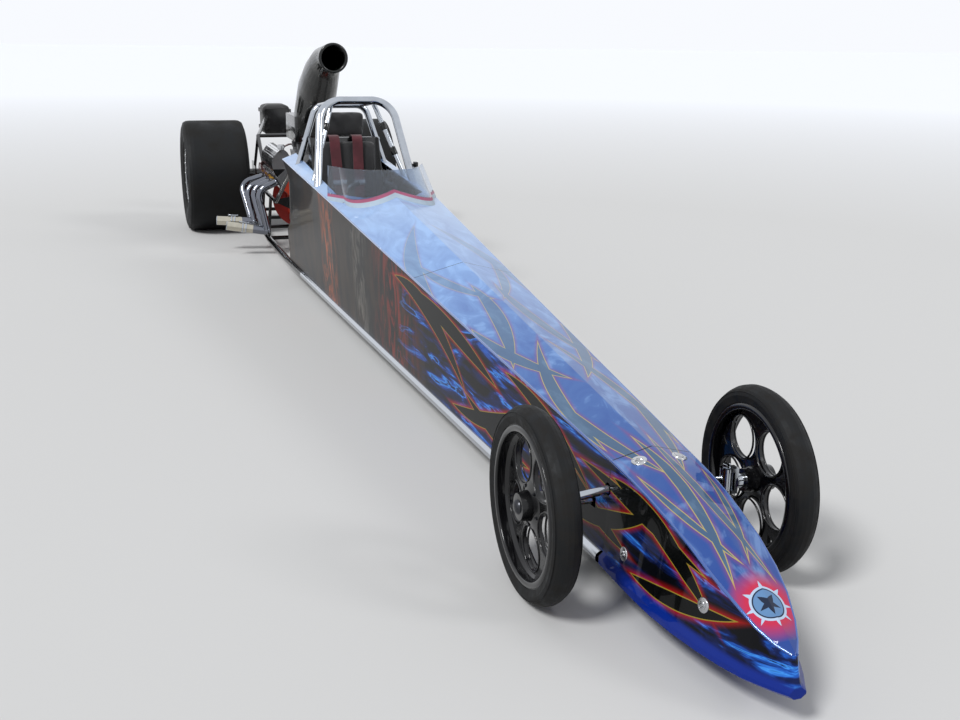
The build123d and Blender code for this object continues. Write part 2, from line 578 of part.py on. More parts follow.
# Knuckles, front wheels and tyres
hub_in = 50
spoke_n = 5
for name, side in (("left", 1), ("right", -1)):
    y = side * kingpin_y
    wheel_y = side * front_track / 2
    lug_z = boss_h / 2 + 6
    pin = Pos(wheelbase, y, boss_z) * Cylinder(pin_r, boss_h + 26)
    lugs = [Pos(wheelbase, y, boss_z + s * lug_z) * Cylinder(19, 11) for s in (-1, 1)]
    lugs += [block(wheelbase - 15, wheelbase + 15, y, y + side * 32, boss_z + s * lug_z - 5.5, boss_z + s * lug_z + 5.5)
             for s in (-1, 1)]
    web = block(wheelbase - 15, wheelbase + 15, y + side * 21, y + side * 33, boss_z - lug_z - 5.5, boss_z + lug_z + 5.5)
    spindle = disc(wheelbase, y + side * 30, wheel_y + side * 28, front_tyre_r, 12.5)
    shoulder = disc(wheelbase, y + side * 30, wheel_y - side * (hub_in + 1), front_tyre_r, 22)
    arm_z = boss_z - lug_z
    arm = side_plate([(wheelbase - arm_back, arm_z - 5.5), (wheelbase, arm_z - 5.5), (wheelbase, arm_z + 5.5),
                      (wheelbase - arm_back, arm_z + 5.5)], y - 8, y + 8)
    eye = Pos(wheelbase - arm_back, y, arm_z) * Cylinder(13, 11)
    stud_low = tie_z - 13
    stud = Pos(wheelbase - arm_back, y, (stud_low + arm_z) / 2) * Cylinder(stud_r, arm_z - stud_low)
    save("knuckle_" + name, fused([pin, web, spindle, shoulder, arm, eye, stud] + lugs))

    r = front_rim_r
    rim = turned([(r - 20, -34), (r, -34), (r, -27), (r - 9, -22), (r - 9, 22), (r, 27), (r, 34), (r - 20, 34),
                  (r - 22, 10), (r - 30, 0), (70, 6), (44, 14), (38, 44), (0.01, 46), (0.01, 32),
                  (12.5 + run_gap, 32), (12.5 + run_gap, -hub_in), (34, -hub_in), (40, -10), (70, -6), (r - 30, -12),
                  (r - 20, -6)], 0, side)
    cuts = []
    for i in range(spoke_n):
        a = i * 360 / spoke_n + 18
        window = Rot(90, 0, 0) * extrude(Ellipse(66, 65), amount=60, both=True)
        cuts.append(Rot(0, a, 0) * Pos(131, 0, 0) * window)
        gap = Rot(90, 0, 0) * extrude(RegularPolygon(17, 3), amount=60, both=True)
        cuts.append(Rot(0, a + 180 / spoke_n, 0) * Pos(184, 0, 0) * Rot(0, 180, 0) * gap)
    save("front_wheel_" + name, Pos(wheelbase, wheel_y, front_tyre_r) * (rim - cuts))
    h = front_tyre_w / 2
    b = r + seat_gap
    t = front_tyre_r
    tyre = turned([(r - 9 + seat_gap, -21), (b, -26), (b, -35), (r + 10, -h + 3), (r + 22, -h), (t - 20, -h + 2),
                   (t - 11, -h + 9), (t - 4, -h + 21), (t, -8), (t, 8), (t - 4, h - 21), (t - 11, h - 9),
                   (t - 20, h - 2), (r + 22, h), (r + 10, h - 3), (b, 35), (b, 26), (r - 9 + seat_gap, 21)], 0, side)
    save("front_tyre_" + name, Pos(wheelbase, wheel_y, front_tyre_r) * tyre)

# Tie rod with an eye on each steering arm's stud
tie_x = wheelbase - arm_back
eyes = [Pos(tie_x, side * kingpin_y, tie_z) * Cylinder(14, 20) for side in (-1, 1)]
tie = fused([bar((tie_x, -kingpin_y + 10, tie_z), (tie_x, kingpin_y - 10, tie_z), tie_r)] + eyes)
tie = tie - [Pos(tie_x, side * kingpin_y, tie_z) * Cylinder(stud_r + run_gap, 40) for side in (-1, 1)]
save("tie_rod", tie)

# Parachute pack on its plate
pack = block(-tail_overhang, pack_front - seat_gap, -pack_w / 2, pack_w / 2, pack_z0, pack_z1)
pack = fillet(pack.edges().filter_by(Axis.X), 30)
save("parachute_pack", pack)
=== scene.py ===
import bpy, bmesh, math
from mathutils import Matrix, Vector
from mathutils.bvhtree import BVHTree
from mathutils.geometry import interpolate_bezier


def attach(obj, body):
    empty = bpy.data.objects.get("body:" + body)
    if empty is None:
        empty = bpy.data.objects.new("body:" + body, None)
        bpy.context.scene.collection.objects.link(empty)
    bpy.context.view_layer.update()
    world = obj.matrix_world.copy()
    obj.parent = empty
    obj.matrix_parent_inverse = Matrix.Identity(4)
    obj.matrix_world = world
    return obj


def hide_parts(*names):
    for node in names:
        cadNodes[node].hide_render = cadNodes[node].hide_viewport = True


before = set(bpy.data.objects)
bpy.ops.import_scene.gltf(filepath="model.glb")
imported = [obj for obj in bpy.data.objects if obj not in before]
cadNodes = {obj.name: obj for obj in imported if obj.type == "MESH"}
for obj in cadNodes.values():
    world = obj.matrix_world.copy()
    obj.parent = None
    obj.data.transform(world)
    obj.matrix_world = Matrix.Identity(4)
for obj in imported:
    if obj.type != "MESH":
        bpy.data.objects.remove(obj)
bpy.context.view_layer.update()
scene = bpy.context.scene
rearAxleX = -3.2725  # where the rear axle stands in the shared frame
bothSides = (("left", 1), ("right", -1))
print("frame loaded,", len(cadNodes), "nodes")


# camera, solved from the photograph

cameraSettings = {"place": (5.9595, -1.432, 1.547), "yaw": 18.394, "pitch": 16.06, "roll": 0.856,
                  "lens": 43.14, "sensor": 36, "reach": 200}


def buildCamera(settings):
    yaw, pitch, roll = (math.radians(settings[key]) for key in ("yaw", "pitch", "roll"))
    ahead = Vector((-math.cos(yaw), math.sin(yaw), 0))
    right = ahead.cross(Vector((0, 0, 1)))
    look = ahead * math.cos(pitch) - Vector((0, 0, math.sin(pitch)))
    up = right.cross(look)
    rolledRight = right * math.cos(roll) + up * math.sin(roll)
    rolledUp = up * math.cos(roll) - right * math.sin(roll)
    camera = bpy.data.objects.new("camera", bpy.data.cameras.new("camera"))
    camera.data.lens = settings["lens"]
    camera.data.sensor_width = settings["sensor"]
    camera.data.sensor_fit = "HORIZONTAL"
    camera.data.clip_end = settings["reach"]
    axes = Matrix((rolledRight, rolledUp, -look)).transposed()
    camera.matrix_world = Matrix.Translation(settings["place"]) @ axes.to_4x4()
    scene.collection.objects.link(camera)
    scene.camera = camera


buildCamera(cameraSettings)
print("camera placed")


def newObject(name, shape, material):
    mesh = bpy.data.meshes.new(name)
    shape.to_mesh(mesh)
    shape.free()
    mesh.materials.append(material)
    piece = bpy.data.objects.new(name, mesh)
    scene.collection.objects.link(piece)
    return piece


def shadeSmooth(piece):
    for polygon in piece.data.polygons:
        polygon.use_smooth = True


# node helpers

def colour(code):
    # a hex code as linear red, green, blue and alpha; anything else stays as it is
    if not isinstance(code, str):
        return code
    channels = [int(code[i:i + 2], 16) / 255 for i in (0, 2, 4)]
    return tuple(c / 12.92 if c <= 0.04045 else ((c + 0.055) / 1.055) ** 2.4 for c in channels) + (1.0,)


def feed(node, inputs):
    # sockets are linked, values and colours are set
    for key, value in inputs.items():
        if isinstance(value, bpy.types.NodeSocket):
            node.id_data.links.new(value, node.inputs[key])
        else:
            node.inputs[key].default_value = colour(value)
    return node


def addNode(kind, inputs, tree=None, **settings):
    # in the tree of the first socket given
    tree = tree or next(value for value in inputs.values() if isinstance(value, bpy.types.NodeSocket)).id_data
    node = tree.nodes.new("ShaderNode" + kind)
    for name, value in settings.items():
        setattr(node, name, value)
    return feed(node, inputs)


def useGroup(group, inputs):
    return addNode("Group", inputs, node_tree=group).outputs


def calc(operation, a, b=0.0, clamp=False):
    return addNode("Math", {0: a, 1: b}, operation=operation, use_clamp=clamp).outputs[0]


def plus(a, b):
    return calc("ADD", a, b)


def minus(a, b):
    return calc("SUBTRACT", a, b)


def times(a, b):
    return calc("MULTIPLY", a, b)


def gap(a, b):
    return calc("ABSOLUTE", minus(a, b))


def less(a, b):
    return calc("LESS_THAN", a, b)


def more(a, b):
    return calc("GREATER_THAN", a, b)


def apart(a, b):
    return addNode("VectorMath", {0: a, 1: b}, operation="DISTANCE").outputs["Value"]


def mix(factor, a, b):
    return addNode("Mix", {0: factor, 6: a, 7: b}, data_type="RGBA").outputs[2]


def mapRange(value, low, high, toLow=0.0, toHigh=1.0):
    return addNode("MapRange", {0: value, 1: low, 2: high, 3: toLow, 4: toHigh}).outputs[0]


def colourRamp(factor, stops):
    node = addNode("ValToRGB", {0: factor})
    elements = node.color_ramp.elements
    while len(elements) < len(stops):
        elements.new(0.5)
    for element, (place, code) in zip(elements, stops):
        element.position = place
        element.color = colour(code)
    return node.outputs[0]


def noise(vector, scale, detail, roughness=0.5, distortion=0.0):
    return addNode("TexNoise", {"Vector": vector, "Scale": scale, "Detail": detail,
                                "Roughness": roughness, "Distortion": distortion}).outputs[0]


def moved(vector, location=(0, 0, 0), scale=(1, 1, 1), rotation=(0, 0, 0)):
    return addNode("Mapping", {"Vector": vector, "Location": location, "Rotation": rotation,
                               "Scale": scale}).outputs[0]


def fromAxle(point):
    return moved(point, location=(-rearAxleX, 0, 0))


def separate(vector):
    return addNode("SeparateXYZ", {0: vector}).outputs


def bump(height, strength, distance=0.001):
    return addNode("Bump", {"Height": height, "Strength": strength, "Distance": distance}).outputs[0]


def makeMaterial(name, tint, roughness, metallic=0.0, **sockets):
    # the material, its shader and the object's own coordinates
    material = bpy.data.materials.new(name)
    material.use_nodes = True
    material.diffuse_color = colour(tint)
    tree = material.node_tree
    values = {"Base Color": tint, "Roughness": roughness, "Metallic": metallic}
    values.update((key.replace("_", " "), value) for key, value in sockets.items())
    shader = feed(tree.nodes["Principled BSDF"], values)
    return material, shader, addNode("TexCoord", {}, tree).outputs["Object"]


def newGroup(name, inputs, outputs):
    # both are names of sockets by kind
    group = bpy.data.node_groups.new(name, "ShaderNodeTree")
    for way, kinds in (("INPUT", inputs), ("OUTPUT", outputs)):
        for kind, labels in kinds.items():
            for label in labels:
                group.interface.new_socket(label, in_out=way, socket_type="NodeSocket" + kind)
    return group, group.nodes.new("NodeGroupInput").outputs, group.nodes.new("NodeGroupOutput")


# shared effects

def buildSmudge():
    # fine wear: a roughness that drifts, with small scuffs
    group, given, target = newGroup("smudge", {"Vector": ["Vector"], "Float": ["Scale", "Low", "High"]},
                                    {"Float": ["Roughness", "Mask"]})
    mask = mapRange(noise(given["Vector"], given["Scale"], 6.0, 0.6), 0.38, 0.66)
    spread = mapRange(mask, 0.0, 1.0, given["Low"], given["High"])
    feed(target, {"Roughness": spread, "Mask": mask})
    return group


def buildGrain():
    # small surface grain as a normal
    group, given, target = newGroup("grain", {"Vector": ["Vector"], "Float": ["Scale", "Strength"]},
                                    {"Vector": ["Normal"]})
    height = noise(given["Vector"], given["Scale"], 4.0)
    feed(target, {"Normal": bump(height, given["Strength"])})
    return group


smudge = buildSmudge()
grain = buildGrain()


def wornBy(point, scale, low, high):
    return useGroup(smudge, {"Vector": point, "Scale": scale, "Low": low, "High": high})


def grainBy(point, scale, strength):
    return useGroup(grain, {"Vector": point, "Scale": scale, "Strength": strength})["Normal"]


# race paint: candy blue with dark sides, smoke, and scallops edged by a fine line

paintSettings = {
    "line": 0.0014, "glow": 0.020, "night": "030409", "navy": "0A1B50", "bronze": "2F231A",
    "wisps": [(0.43, "030409"), (0.53, "0A1B50"), (0.585, "1C55B4"), (0.61, "3E8EE6"), (0.645, "0A1B50"),
              (0.74, "030409")],
    "columns": [(3.13, 0.22, "B4531C", 0.95), (3.79, 0.18, "77736C", 0.7), (4.40, 0.42, "7A2013", 1.0)],
    "topRamp": [(0.0, "A3BDE0"), (0.38, "7DA3D8"), (0.68, "426AA8"), (1.0, "23428A")],
    "bladeSide": "050606", "lineSide": "8F7B2A", "glowSide": "9A120F",
    "bladeTop": "465F6C", "lineTop": "A99C62", "glowTop": "7E3F74",
    "seamAt": 3.93, "seamWidth": 0.0014, "joints": (4.68, 6.48), "jointWidth": 0.0021,
    "edgeSpan": (1.0, 8.0), "edgeEnds": (0.7866, 0.09), "edgeFold": 0.0035,  # the edge line, past the body
    "rearEnd": 1.893, "rearEndLow": 0.6, "noseFrom": 6.4802, "rolledFrom": (0.122, 0.108), "shadeUnderFrom": 0.13,
    "badge": (7.12, 0.0, 0.254), "badgeSize": 0.045,
}

# from x, from z, to x, to z, bulge of the outer edge, bulge of the inner edge
sideBlades = [
    (4.42, 0.505, 5.30, 0.235, 0.115, 0.035),
    (4.62, 0.500, 5.62, 0.345, 0.055, -0.012),
    (5.16, 0.145, 5.98, 0.375, -0.085, -0.020),
    (5.30, 0.235, 5.92, 0.155, -0.050, -0.005),
    (5.70, 0.425, 6.36, 0.255, 0.060, 0.010),
    (6.02, 0.375, 6.62, 0.170, -0.070, -0.012),
    (6.16, 0.150, 6.74, 0.325, -0.060, -0.005),
    (6.50, 0.345, 7.02, 0.175, 0.070, 0.012),
    (6.66, 0.130, 7.10, 0.205, -0.035, 0.008),
    (6.30, 0.330, 6.98, 0.265, 0.030, -0.010),
]

# from x, from y, to x, to y, bulge of the outer edge, bulge of the inner edge
topBlades = [
    (4.05, 0.045, 5.05, 0.215, 0.085, 0.020),
    (4.55, 0.165, 5.15, 0.020, 0.050, 0.008),
    (4.95, 0.050, 5.75, 0.155, -0.060, -0.008),
    (5.35, 0.175, 5.95, 0.030, 0.055, 0.010),
    (5.62, 0.020, 6.42, 0.115, 0.060, 0.020),
    (6.05, 0.115, 6.62, 0.030, 0.040, 0.006),
    (6.40, 0.025, 7.05, 0.055, -0.035, -0.006),
    (6.60, 0.098, 7.00, 0.012, 0.022, 0.004),
]

# top edges of the body: x from the rear axle, half width, height
edgeRows = [(1.88, 0.324, 0.740), (3.24, 0.296, 0.668), (6.48, 0.124, 0.388), (6.60, 0.119, 0.376),
            (6.70, 0.114, 0.361), (6.80, 0.107, 0.340), (6.90, 0.100, 0.316), (7.00, 0.090, 0.282),
            (7.08, 0.075, 0.251), (7.15, 0.055, 0.217), (7.20, 0.032, 0.195), (7.238, 0.008, 0.184)]


def arcCircle(x0, v0, x1, v1, bulge):
    # centre and radius of the circle through two points with the given bulge between them
    chord = math.hypot(x1 - x0, v1 - v0)
    radius = (chord * chord / 4 + bulge * bulge) / (2 * abs(bulge))
    reach = (abs(bulge) - radius) * (1 if bulge > 0 else -1)
    return ((x0 + x1) / 2 - (v1 - v0) / chord * reach, (v0 + v1) / 2 + (x1 - x0) / chord * reach, 0), radius


def buildBlade():
    # distance to a blade between two arcs, negative inside
    inputs = {"Vector": ["Point", "Centre", "Cutter"], "Float": ["Radius", "Cutter Radius", "Side"]}
    group, given, target = newGroup("blade", inputs, {"Float": ["Distance"]})
    outer = minus(apart(given["Point"], given["Centre"]), given["Radius"])
    cutter = minus(apart(given["Point"], given["Cutter"]), given["Cutter Radius"])
    cut = times(cutter, given["Side"])
    feed(target, {"Distance": calc("MAXIMUM", outer, cut)})
    return group


bladeGroup = buildBlade()


def bladesDistance(point, rows):
    nearest = None
    for *ends, outer, inner in rows:
        centre, radius = arcCircle(*ends, outer)
        cutter, cutRadius = arcCircle(*ends, inner)
        side = -1.0 if outer * inner > 0 else 1.0
        found = useGroup(bladeGroup, {"Point": point, "Centre": centre, "Radius": radius, "Cutter": cutter,
                                      "Cutter Radius": cutRadius, "Side": side})[0]
        nearest = found if nearest is None else calc("MINIMUM", nearest, found)
    return nearest


def buildPinstripe():
    # fill, fine line and soft glow laid over a ground colour by distance
    inputs = {"Float": ["Distance", "Line Width", "Glow Width", "Glow Amount"],
              "Color": ["Ground", "Fill", "Line", "Glow"]}
    group, given, target = newGroup("pinstripe", inputs, {"Color": ["Color"]})
    distance = given["Distance"]
    fade = calc("SUBTRACT", 1.0, calc("DIVIDE", distance, given["Glow Width"]), clamp=True)
    soft = times(calc("POWER", fade, 1.7), given["Glow Amount"])
    tint = mix(soft, given["Ground"], given["Glow"])
    tint = mix(less(distance, 0.0), tint, given["Fill"])
    onLine = less(calc("ABSOLUTE", distance), given["Line Width"])
    feed(target, {"Color": mix(onLine, tint, given["Line"])})
    return group


pinstripe = buildPinstripe()


def buildRacePaint(settings):
    material, shader, point = makeMaterial("racePaint", settings["navy"], 0.3, Coat_Weight=0.5,
                                           Coat_Roughness=0.03, Specular_IOR_Level=0.05)
    normal = point.node.outputs["Normal"]
    point = fromAxle(point)
    x, y, z = separate(point)

    def streaks(stretch, turn, *shares):
        return noise(moved(point, scale=stretch, rotation=turn), *shares)

    def striped(ground, fill, across, rows, face, thin, faint, amount):
        flat = addNode("CombineXYZ", {0: x, 1: across}).outputs[0]
        return useGroup(pinstripe, {
            "Distance": bladesDistance(flat, rows), "Ground": ground, "Fill": fill, "Glow Amount": amount,
            "Line": settings["line" + face], "Line Width": settings["line"] * thin,
            "Glow": settings["glow" + face], "Glow Width": settings["glow"] * faint})[0]

    # height of the top edge along the body
    start, end = settings["edgeSpan"]
    curve = addNode("FloatCurve", {"Factor": 1.0, "Value": mapRange(x, start, end)})
    knots = curve.mapping.curves[0].points
    for i in (0, 1):
        knots[i].location = (i, settings["edgeEnds"][i])
    for place, half, height in edgeRows:
        knots.new((place - start) / (end - start), height)
    for knot in knots:
        knot.handle_type = "VECTOR"
    curve.mapping.update()
    onTop = more(minus(z, curve.outputs[0]), -settings["edgeFold"])

    # near black front sides with azure wisps drawn along the body
    wisp = streaks((0.5, 1.0, 3.2), (0, 0.26, 0), 4.6, 5.0, 0.58, 1.1)
    frontSide = colourRamp(wisp, settings["wisps"])

    # bronze smoke on the rear sides, with columns of flame, ash and ember drawn out from top to bottom
    tongue = streaks((1.0, 1.0, 0.42), (0, -0.12, 0), 5.0, 5.0, 0.6, 1.5)
    rearSide = mix(mapRange(tongue, 0.42, 0.7), settings["night"], settings["bronze"])
    strand = mapRange(streaks((1.0, 1.0, 0.34), (0, -0.2, 0), 11.0, 6.0, 0.62, 2.0), 0.46, 0.62)
    for place, width, tint, amount in settings["columns"]:
        near = mapRange(gap(x, place), 0.0, width, amount, 0.0)
        rearSide = mix(times(near, strand), rearSide, tint)
    drifted = plus(x, times(minus(wisp, 0.5), 1.4))
    side = mix(mapRange(drifted, 4.55, 4.9), rearSide, frontSide)
    side = striped(side, settings["bladeSide"], z, sideBlades, "Side", 1.0, 1.0, 1.0)
    side = mix(less(gap(x, settings["seamAt"]), settings["seamWidth"]), side, "000000")
    rearEdge = times(less(x, settings["rearEnd"]), more(z, settings["rearEndLow"]))
    side = mix(rearEdge, side, "B01822")
    rolled = times(mapRange(z, *settings["rolledFrom"]), more(x, settings["noseFrom"]))
    side = mix(rolled, side, "09267F")

    # pale blue by the screen to royal blue at the nose, with soft smoke
    cloud = streaks((0.7, 1.6, 1.0), (0, 0, 0.2), 6.0, 5.0, 0.55, 1.4)
    ground = colourRamp(mapRange(x, 3.0, 7.25), settings["topRamp"])
    calm = mapRange(x, 3.2, 5.6, 0.3, 1.0)
    smoke = times(mapRange(cloud, 0.42, 0.7, 0.0, 0.5), calm)
    plain = mix(smoke, ground, "1D3F8E")
    plain = mix(mapRange(cloud, 0.46, 0.34, 0.0, 0.3), plain, "9CC2F2")
    fill = mix(0.72, plain, settings["bladeTop"])
    top = striped(plain, fill, calc("ABSOLUTE", y), topBlades, "Top", 0.9, 0.8, 0.75)
    top = mix(mapRange(x, 4.0, 6.0, 0.42, 1.0), plain, top)

    # a plain star badge with eight rays near the tip
    bx, by, bz = settings["badge"]
    reach = calc("DIVIDE", apart(point, settings["badge"]), settings["badgeSize"])
    turn = calc("ARCTAN2", minus(y, by), times(minus(x, bx), 1.15))

    def rays(count):
        # one on a ray, nought half way to the next
        share = calc("FRACT", plus(times(turn, count / (2 * math.pi)), 10.0))
        return times(gap(share, 0.5), 2.0)

    top = mix(mapRange(reach, 1.25, 2.3, 0.92, 0.0), top, "C22440")
    spikes = calc("MAXIMUM", minus(times(rays(8), 4.0), 3.0), 0.0)
    rim = plus(times(spikes, 0.38), 1.06)
    star = calc("DIVIDE", 0.2, minus(0.7, times(rays(5), 0.42)))
    for size, tint in ((rim, "AFC2DA"), (0.92, "1A2740"), (0.84, "5D83AE"), (star, "16233A")):
        top = mix(less(reach, size), top, tint)
    paint = mix(onTop, side, top)

    # dark joints where the hood meets the cowl and the nose
    for place in settings["joints"]:
        paint = mix(less(gap(x, place), settings["jointWidth"]), paint, "05070C")

    # the inside of the panels is plain dark, and faces turned down above the floor get the same dark as
    # painted shade
    facing = separate(normal)
    inward = less(times(facing[1], calc("SIGN", y)), -0.4)
    # painted shade on faces turned down, above the nose's underside
    shadedUnder = times(less(facing[2], -0.5), more(z, settings["shadeUnderFrom"]))
    paint = mix(calc("MAXIMUM", inward, shadedUnder), paint, "141416")
    feed(shader, {"Base Color": paint, "Coat Weight": mapRange(onTop, 0.0, 1.0, 0.26, 0.5),
                  "Normal": bump(noise(point, 900.0, 2.0), 0.03, 0.0004)})
    return material


racePaint = buildRacePaint(paintSettings)
print("race paint mixed")


# plain finishes

def buildMetal(name, tint, low, high, grit=None, metallic=1.0, stretch=(1, 1, 1), **sockets):
    # grit is the scale and strength of the grain
    material, shader, point = makeMaterial(name, tint, low, metallic, **sockets)
    point = moved(point, scale=stretch)
    wear = wornBy(point, 9.0, low, high)
    darker = tuple(c * 0.82 for c in colour(tint)[:3]) + (1,)
    feed(shader, {"Roughness": wear["Roughness"], "Base Color": mix(wear["Mask"], tint, darker)})
    if grit:
        feed(shader, {"Normal": grainBy(point, *grit)})
    return material


chrome = buildMetal("chrome", "BCC1C8", 0.05, 0.14)
polished = buildMetal("polishedAluminium", "C8C9CB", 0.12, 0.3, (700.0, 0.05))
brushed = buildMetal("brushedAluminium", "B4B5B6", 0.3, 0.48, (500.0, 0.15), stretch=(1, 12, 1))
castMetal = buildMetal("castMetal", "6E6E70", 0.45, 0.65, (420.0, 0.35), 0.9)
steel = buildMetal("steel", "8C8D90", 0.25, 0.45, (500.0, 0.1))
darkMetal = buildMetal("darkMetal", "46474B", 0.18, 0.32)
outletChrome = buildMetal("outletChrome", "C2BDAE", 0.07, 0.18)
blackPaint = buildMetal("blackPaint", "0B0B0C", 0.12, 0.3, None, 0.0, Coat_Weight=0.6, Coat_Roughness=0.08)
wheelBlack = buildMetal("wheelBlack", "08080A", 0.16, 0.3, None, 0.0, Coat_Weight=0.5, Coat_Roughness=0.04,
                        Specular_IOR_Level=0.25)
scoopBlack = buildMetal("scoopBlack", "060807", 0.2, 0.34, None, 0.0, Coat_Weight=0.45, Coat_Roughness=0.06,
                        Specular_IOR_Level=0.25)
engineRed = buildMetal("engineRed", "A33018", 0.3, 0.5, (300.0, 0.25), 0.0, Coat_Weight=0.3)
bootSilicone = buildMetal("bootSilicone", "B98A22", 0.45, 0.6, None, 0.0)
wireJacket = buildMetal("wireJacket", "3A0E0C", 0.35, 0.5, None, 0.0)
paleTape = buildMetal("paleTape", "A6B7C6", 0.35, 0.5, None, 0.0)
pinkTape = buildMetal("pinkTape", "9C4C6C", 0.35, 0.5, None, 0.0)


def buildRubber(name, tint, dust, scale):
    material, shader, point = makeMaterial(name, tint, 0.7, Specular_IOR_Level=0.2)
    wear = wornBy(point, scale, 0.55, 0.82)
    feed(shader, {"Roughness": wear["Roughness"], "Normal": grainBy(point, 380.0, 0.35),
                  "Base Color": mix(times(wear["Mask"], 0.5), tint, dust)})
    return material


tyreRubber = buildRubber("tyreRubber", "0F1113", "24211E", 26.0)
slickRubber = buildRubber("slickRubber", "0F1113", "211F1C", 7.0)
gripRubber = buildRubber("gripRubber", "121213", "2A2A2B", 60.0)

clothTurns = ((0, 0, 0.785), (0.6, 0.785, 0))  # the two ways of the weave


def buildCloth(name, tint):
    # plain weave with a faint sheen
    material, shader, point = makeMaterial(name, tint, 0.85, Sheen_Weight=0.35, Sheen_Roughness=0.5)
    weave = times(*(addNode("TexWave", {"Vector": moved(point, rotation=turn), "Scale": 150.0,
                                        "Distortion": 0.3}).outputs[1] for turn in clothTurns))
    lighter = tuple(min(1, c * 1.9 + 0.004) for c in colour(tint)[:3]) + (1,)
    worn = times(mapRange(noise(point, 14.0, 4.0), 0.45, 0.7), 0.6)
    share = plus(worn, times(weave, 0.25))
    feed(shader, {"Normal": bump(weave, 0.35, 0.0006), "Base Color": mix(share, tint, lighter)})
    return material


blackCloth = buildCloth("blackCloth", "141416")
beltCloth = buildCloth("beltCloth", "45101A")
strapCloth = buildCloth("strapCloth", "202024")


def buildScreen():
    material, shader, point = makeMaterial("clearScreen", "A0B3CB", 0.06, Transmission_Weight=1.0, IOR=1.35,
                                           Coat_Weight=0.6, Coat_Roughness=0.02)
    feed(shader, {"Roughness": wornBy(point, 14.0, 0.03, 0.12)["Roughness"]})
    return material


def buildPaintedEdgeHighlight(highlightByScreen, byNose):
    # a painted highlight: pale by the screen, deeper towards the nose
    material, shader, point = makeMaterial("paintedEdgeHighlight", highlightByScreen, 0.16, 0.5, Coat_Weight=1.0)
    ahead = mapRange(separate(fromAxle(point))[0], 3.2, 6.4)
    feed(shader, {"Base Color": mix(ahead, highlightByScreen, byNose)})
    return material


def buildSplitFinish(name, axis, reach, near, beyond, low, high):
    # two finishes on one node, parted by a plane; each is tint and metallic
    material, shader, point = makeMaterial(name, beyond[0], low, beyond[1])
    point = fromAxle(point)
    past = more(calc("ABSOLUTE", separate(point)[axis]), reach)
    feed(shader, {"Base Color": mix(past, near[0], beyond[0]),
                  "Metallic": mapRange(past, 0.0, 1.0, near[1], beyond[1]),
                  "Roughness": wornBy(point, 9.0, low, high)["Roughness"]})
    return material


clearScreen = buildScreen()
# the pale bead colour by the screen is a painted highlight; towards the nose it is the deeper blue paint
paintedEdgeHighlight = buildPaintedEdgeHighlight("93A9D0", "3B5EA6")
tubeBlack = ("0B0B0C", 0.0)
pipeChrome = buildSplitFinish("pipeChrome", 1, 0.490, ("74777F", 1.0), ("C2BDAE", 1.0), 0.05, 0.14)
frameTube = buildSplitFinish("frameTube", 0, 2.355, tubeBlack, ("C4C8CE", 1.0), 0.07, 0.18)
gearCase = buildSplitFinish("gearCase", 0, 0.56, ("6E6E70", 0.9), ("8E1F16", 0.0), 0.3, 0.5)
coverMetal = buildSplitFinish("coverMetal", 2, 0.600, tubeBlack, ("DCDDDE", 1.0), 0.08, 0.2)
print("finishes made")

finishOf = {
    racePaint: ["nose_cone", "hood_panel", "cowl_panel", "side_panel_left", "side_panel_right"],
    chrome: ["halo_hoop", "front_axle", "knuckle_left", "knuckle_right", "tie_rod", "roll_cage"],
    blackPaint: ["upper_frame", "rear_frame", "steering_column", "rear_end_housing", "steering_wheel",
                 "motor_plate", "seat_shell"],
    brushed: ["belly_pan", "firewall", "pedals", "front_drive", "oil_pan", "intake_manifold"],
    polished: ["rear_wheel_left", "rear_wheel_right", "cylinder_heads"],
    castMetal: ["brake_calipers", "carburettors"],
    steel: ["rear_axle_shaft"],
    engineRed: ["engine_block"],
    scoopBlack: ["air_scoop"],
    wheelBlack: ["front_wheel_left", "front_wheel_right"],
    tyreRubber: ["front_tyre_left", "front_tyre_right"],
    slickRubber: ["rear_tyre_left", "rear_tyre_right"],
    blackCloth: ["seat_pads", "parachute_pack"],
    clearScreen: ["windshield"],
    pipeChrome: ["header_left", "header_right"],  # darker pipes with bright outlets
    frameTube: ["lower_frame"],  # black rails round the engine, bright from the cockpit on
    gearCase: ["transmission"],  # a red bell ahead of a cast case
    coverMetal: ["valve_covers"],  # bright covers with a black rail
}
for material, names in finishOf.items():
    for name in names:
        mesh = cadNodes[name].data
        mesh.materials.clear()
        mesh.materials.append(material)
missing = set(cadNodes) - {name for names in finishOf.values() for name in names}
print("nodes without a finish:", sorted(missing))


# floor and light

stageSettings = {"size": 90, "near": (0.60, 0.60, 0.595, 1), "far": (0.842, 0.864, 0.902, 1),
                 "fade": (5.0, 22.0), "sky": (0.94, 0.96, 1.0, 1), "worldStrength": 0.5,
                 "sunAngle": 16, "sunAway": 8,
                 "suns": [("sun", (0.35, -0.65, 0.85), 2.3), ("counterSun", (0.6, 0.7, 0.6), 0.575)]}


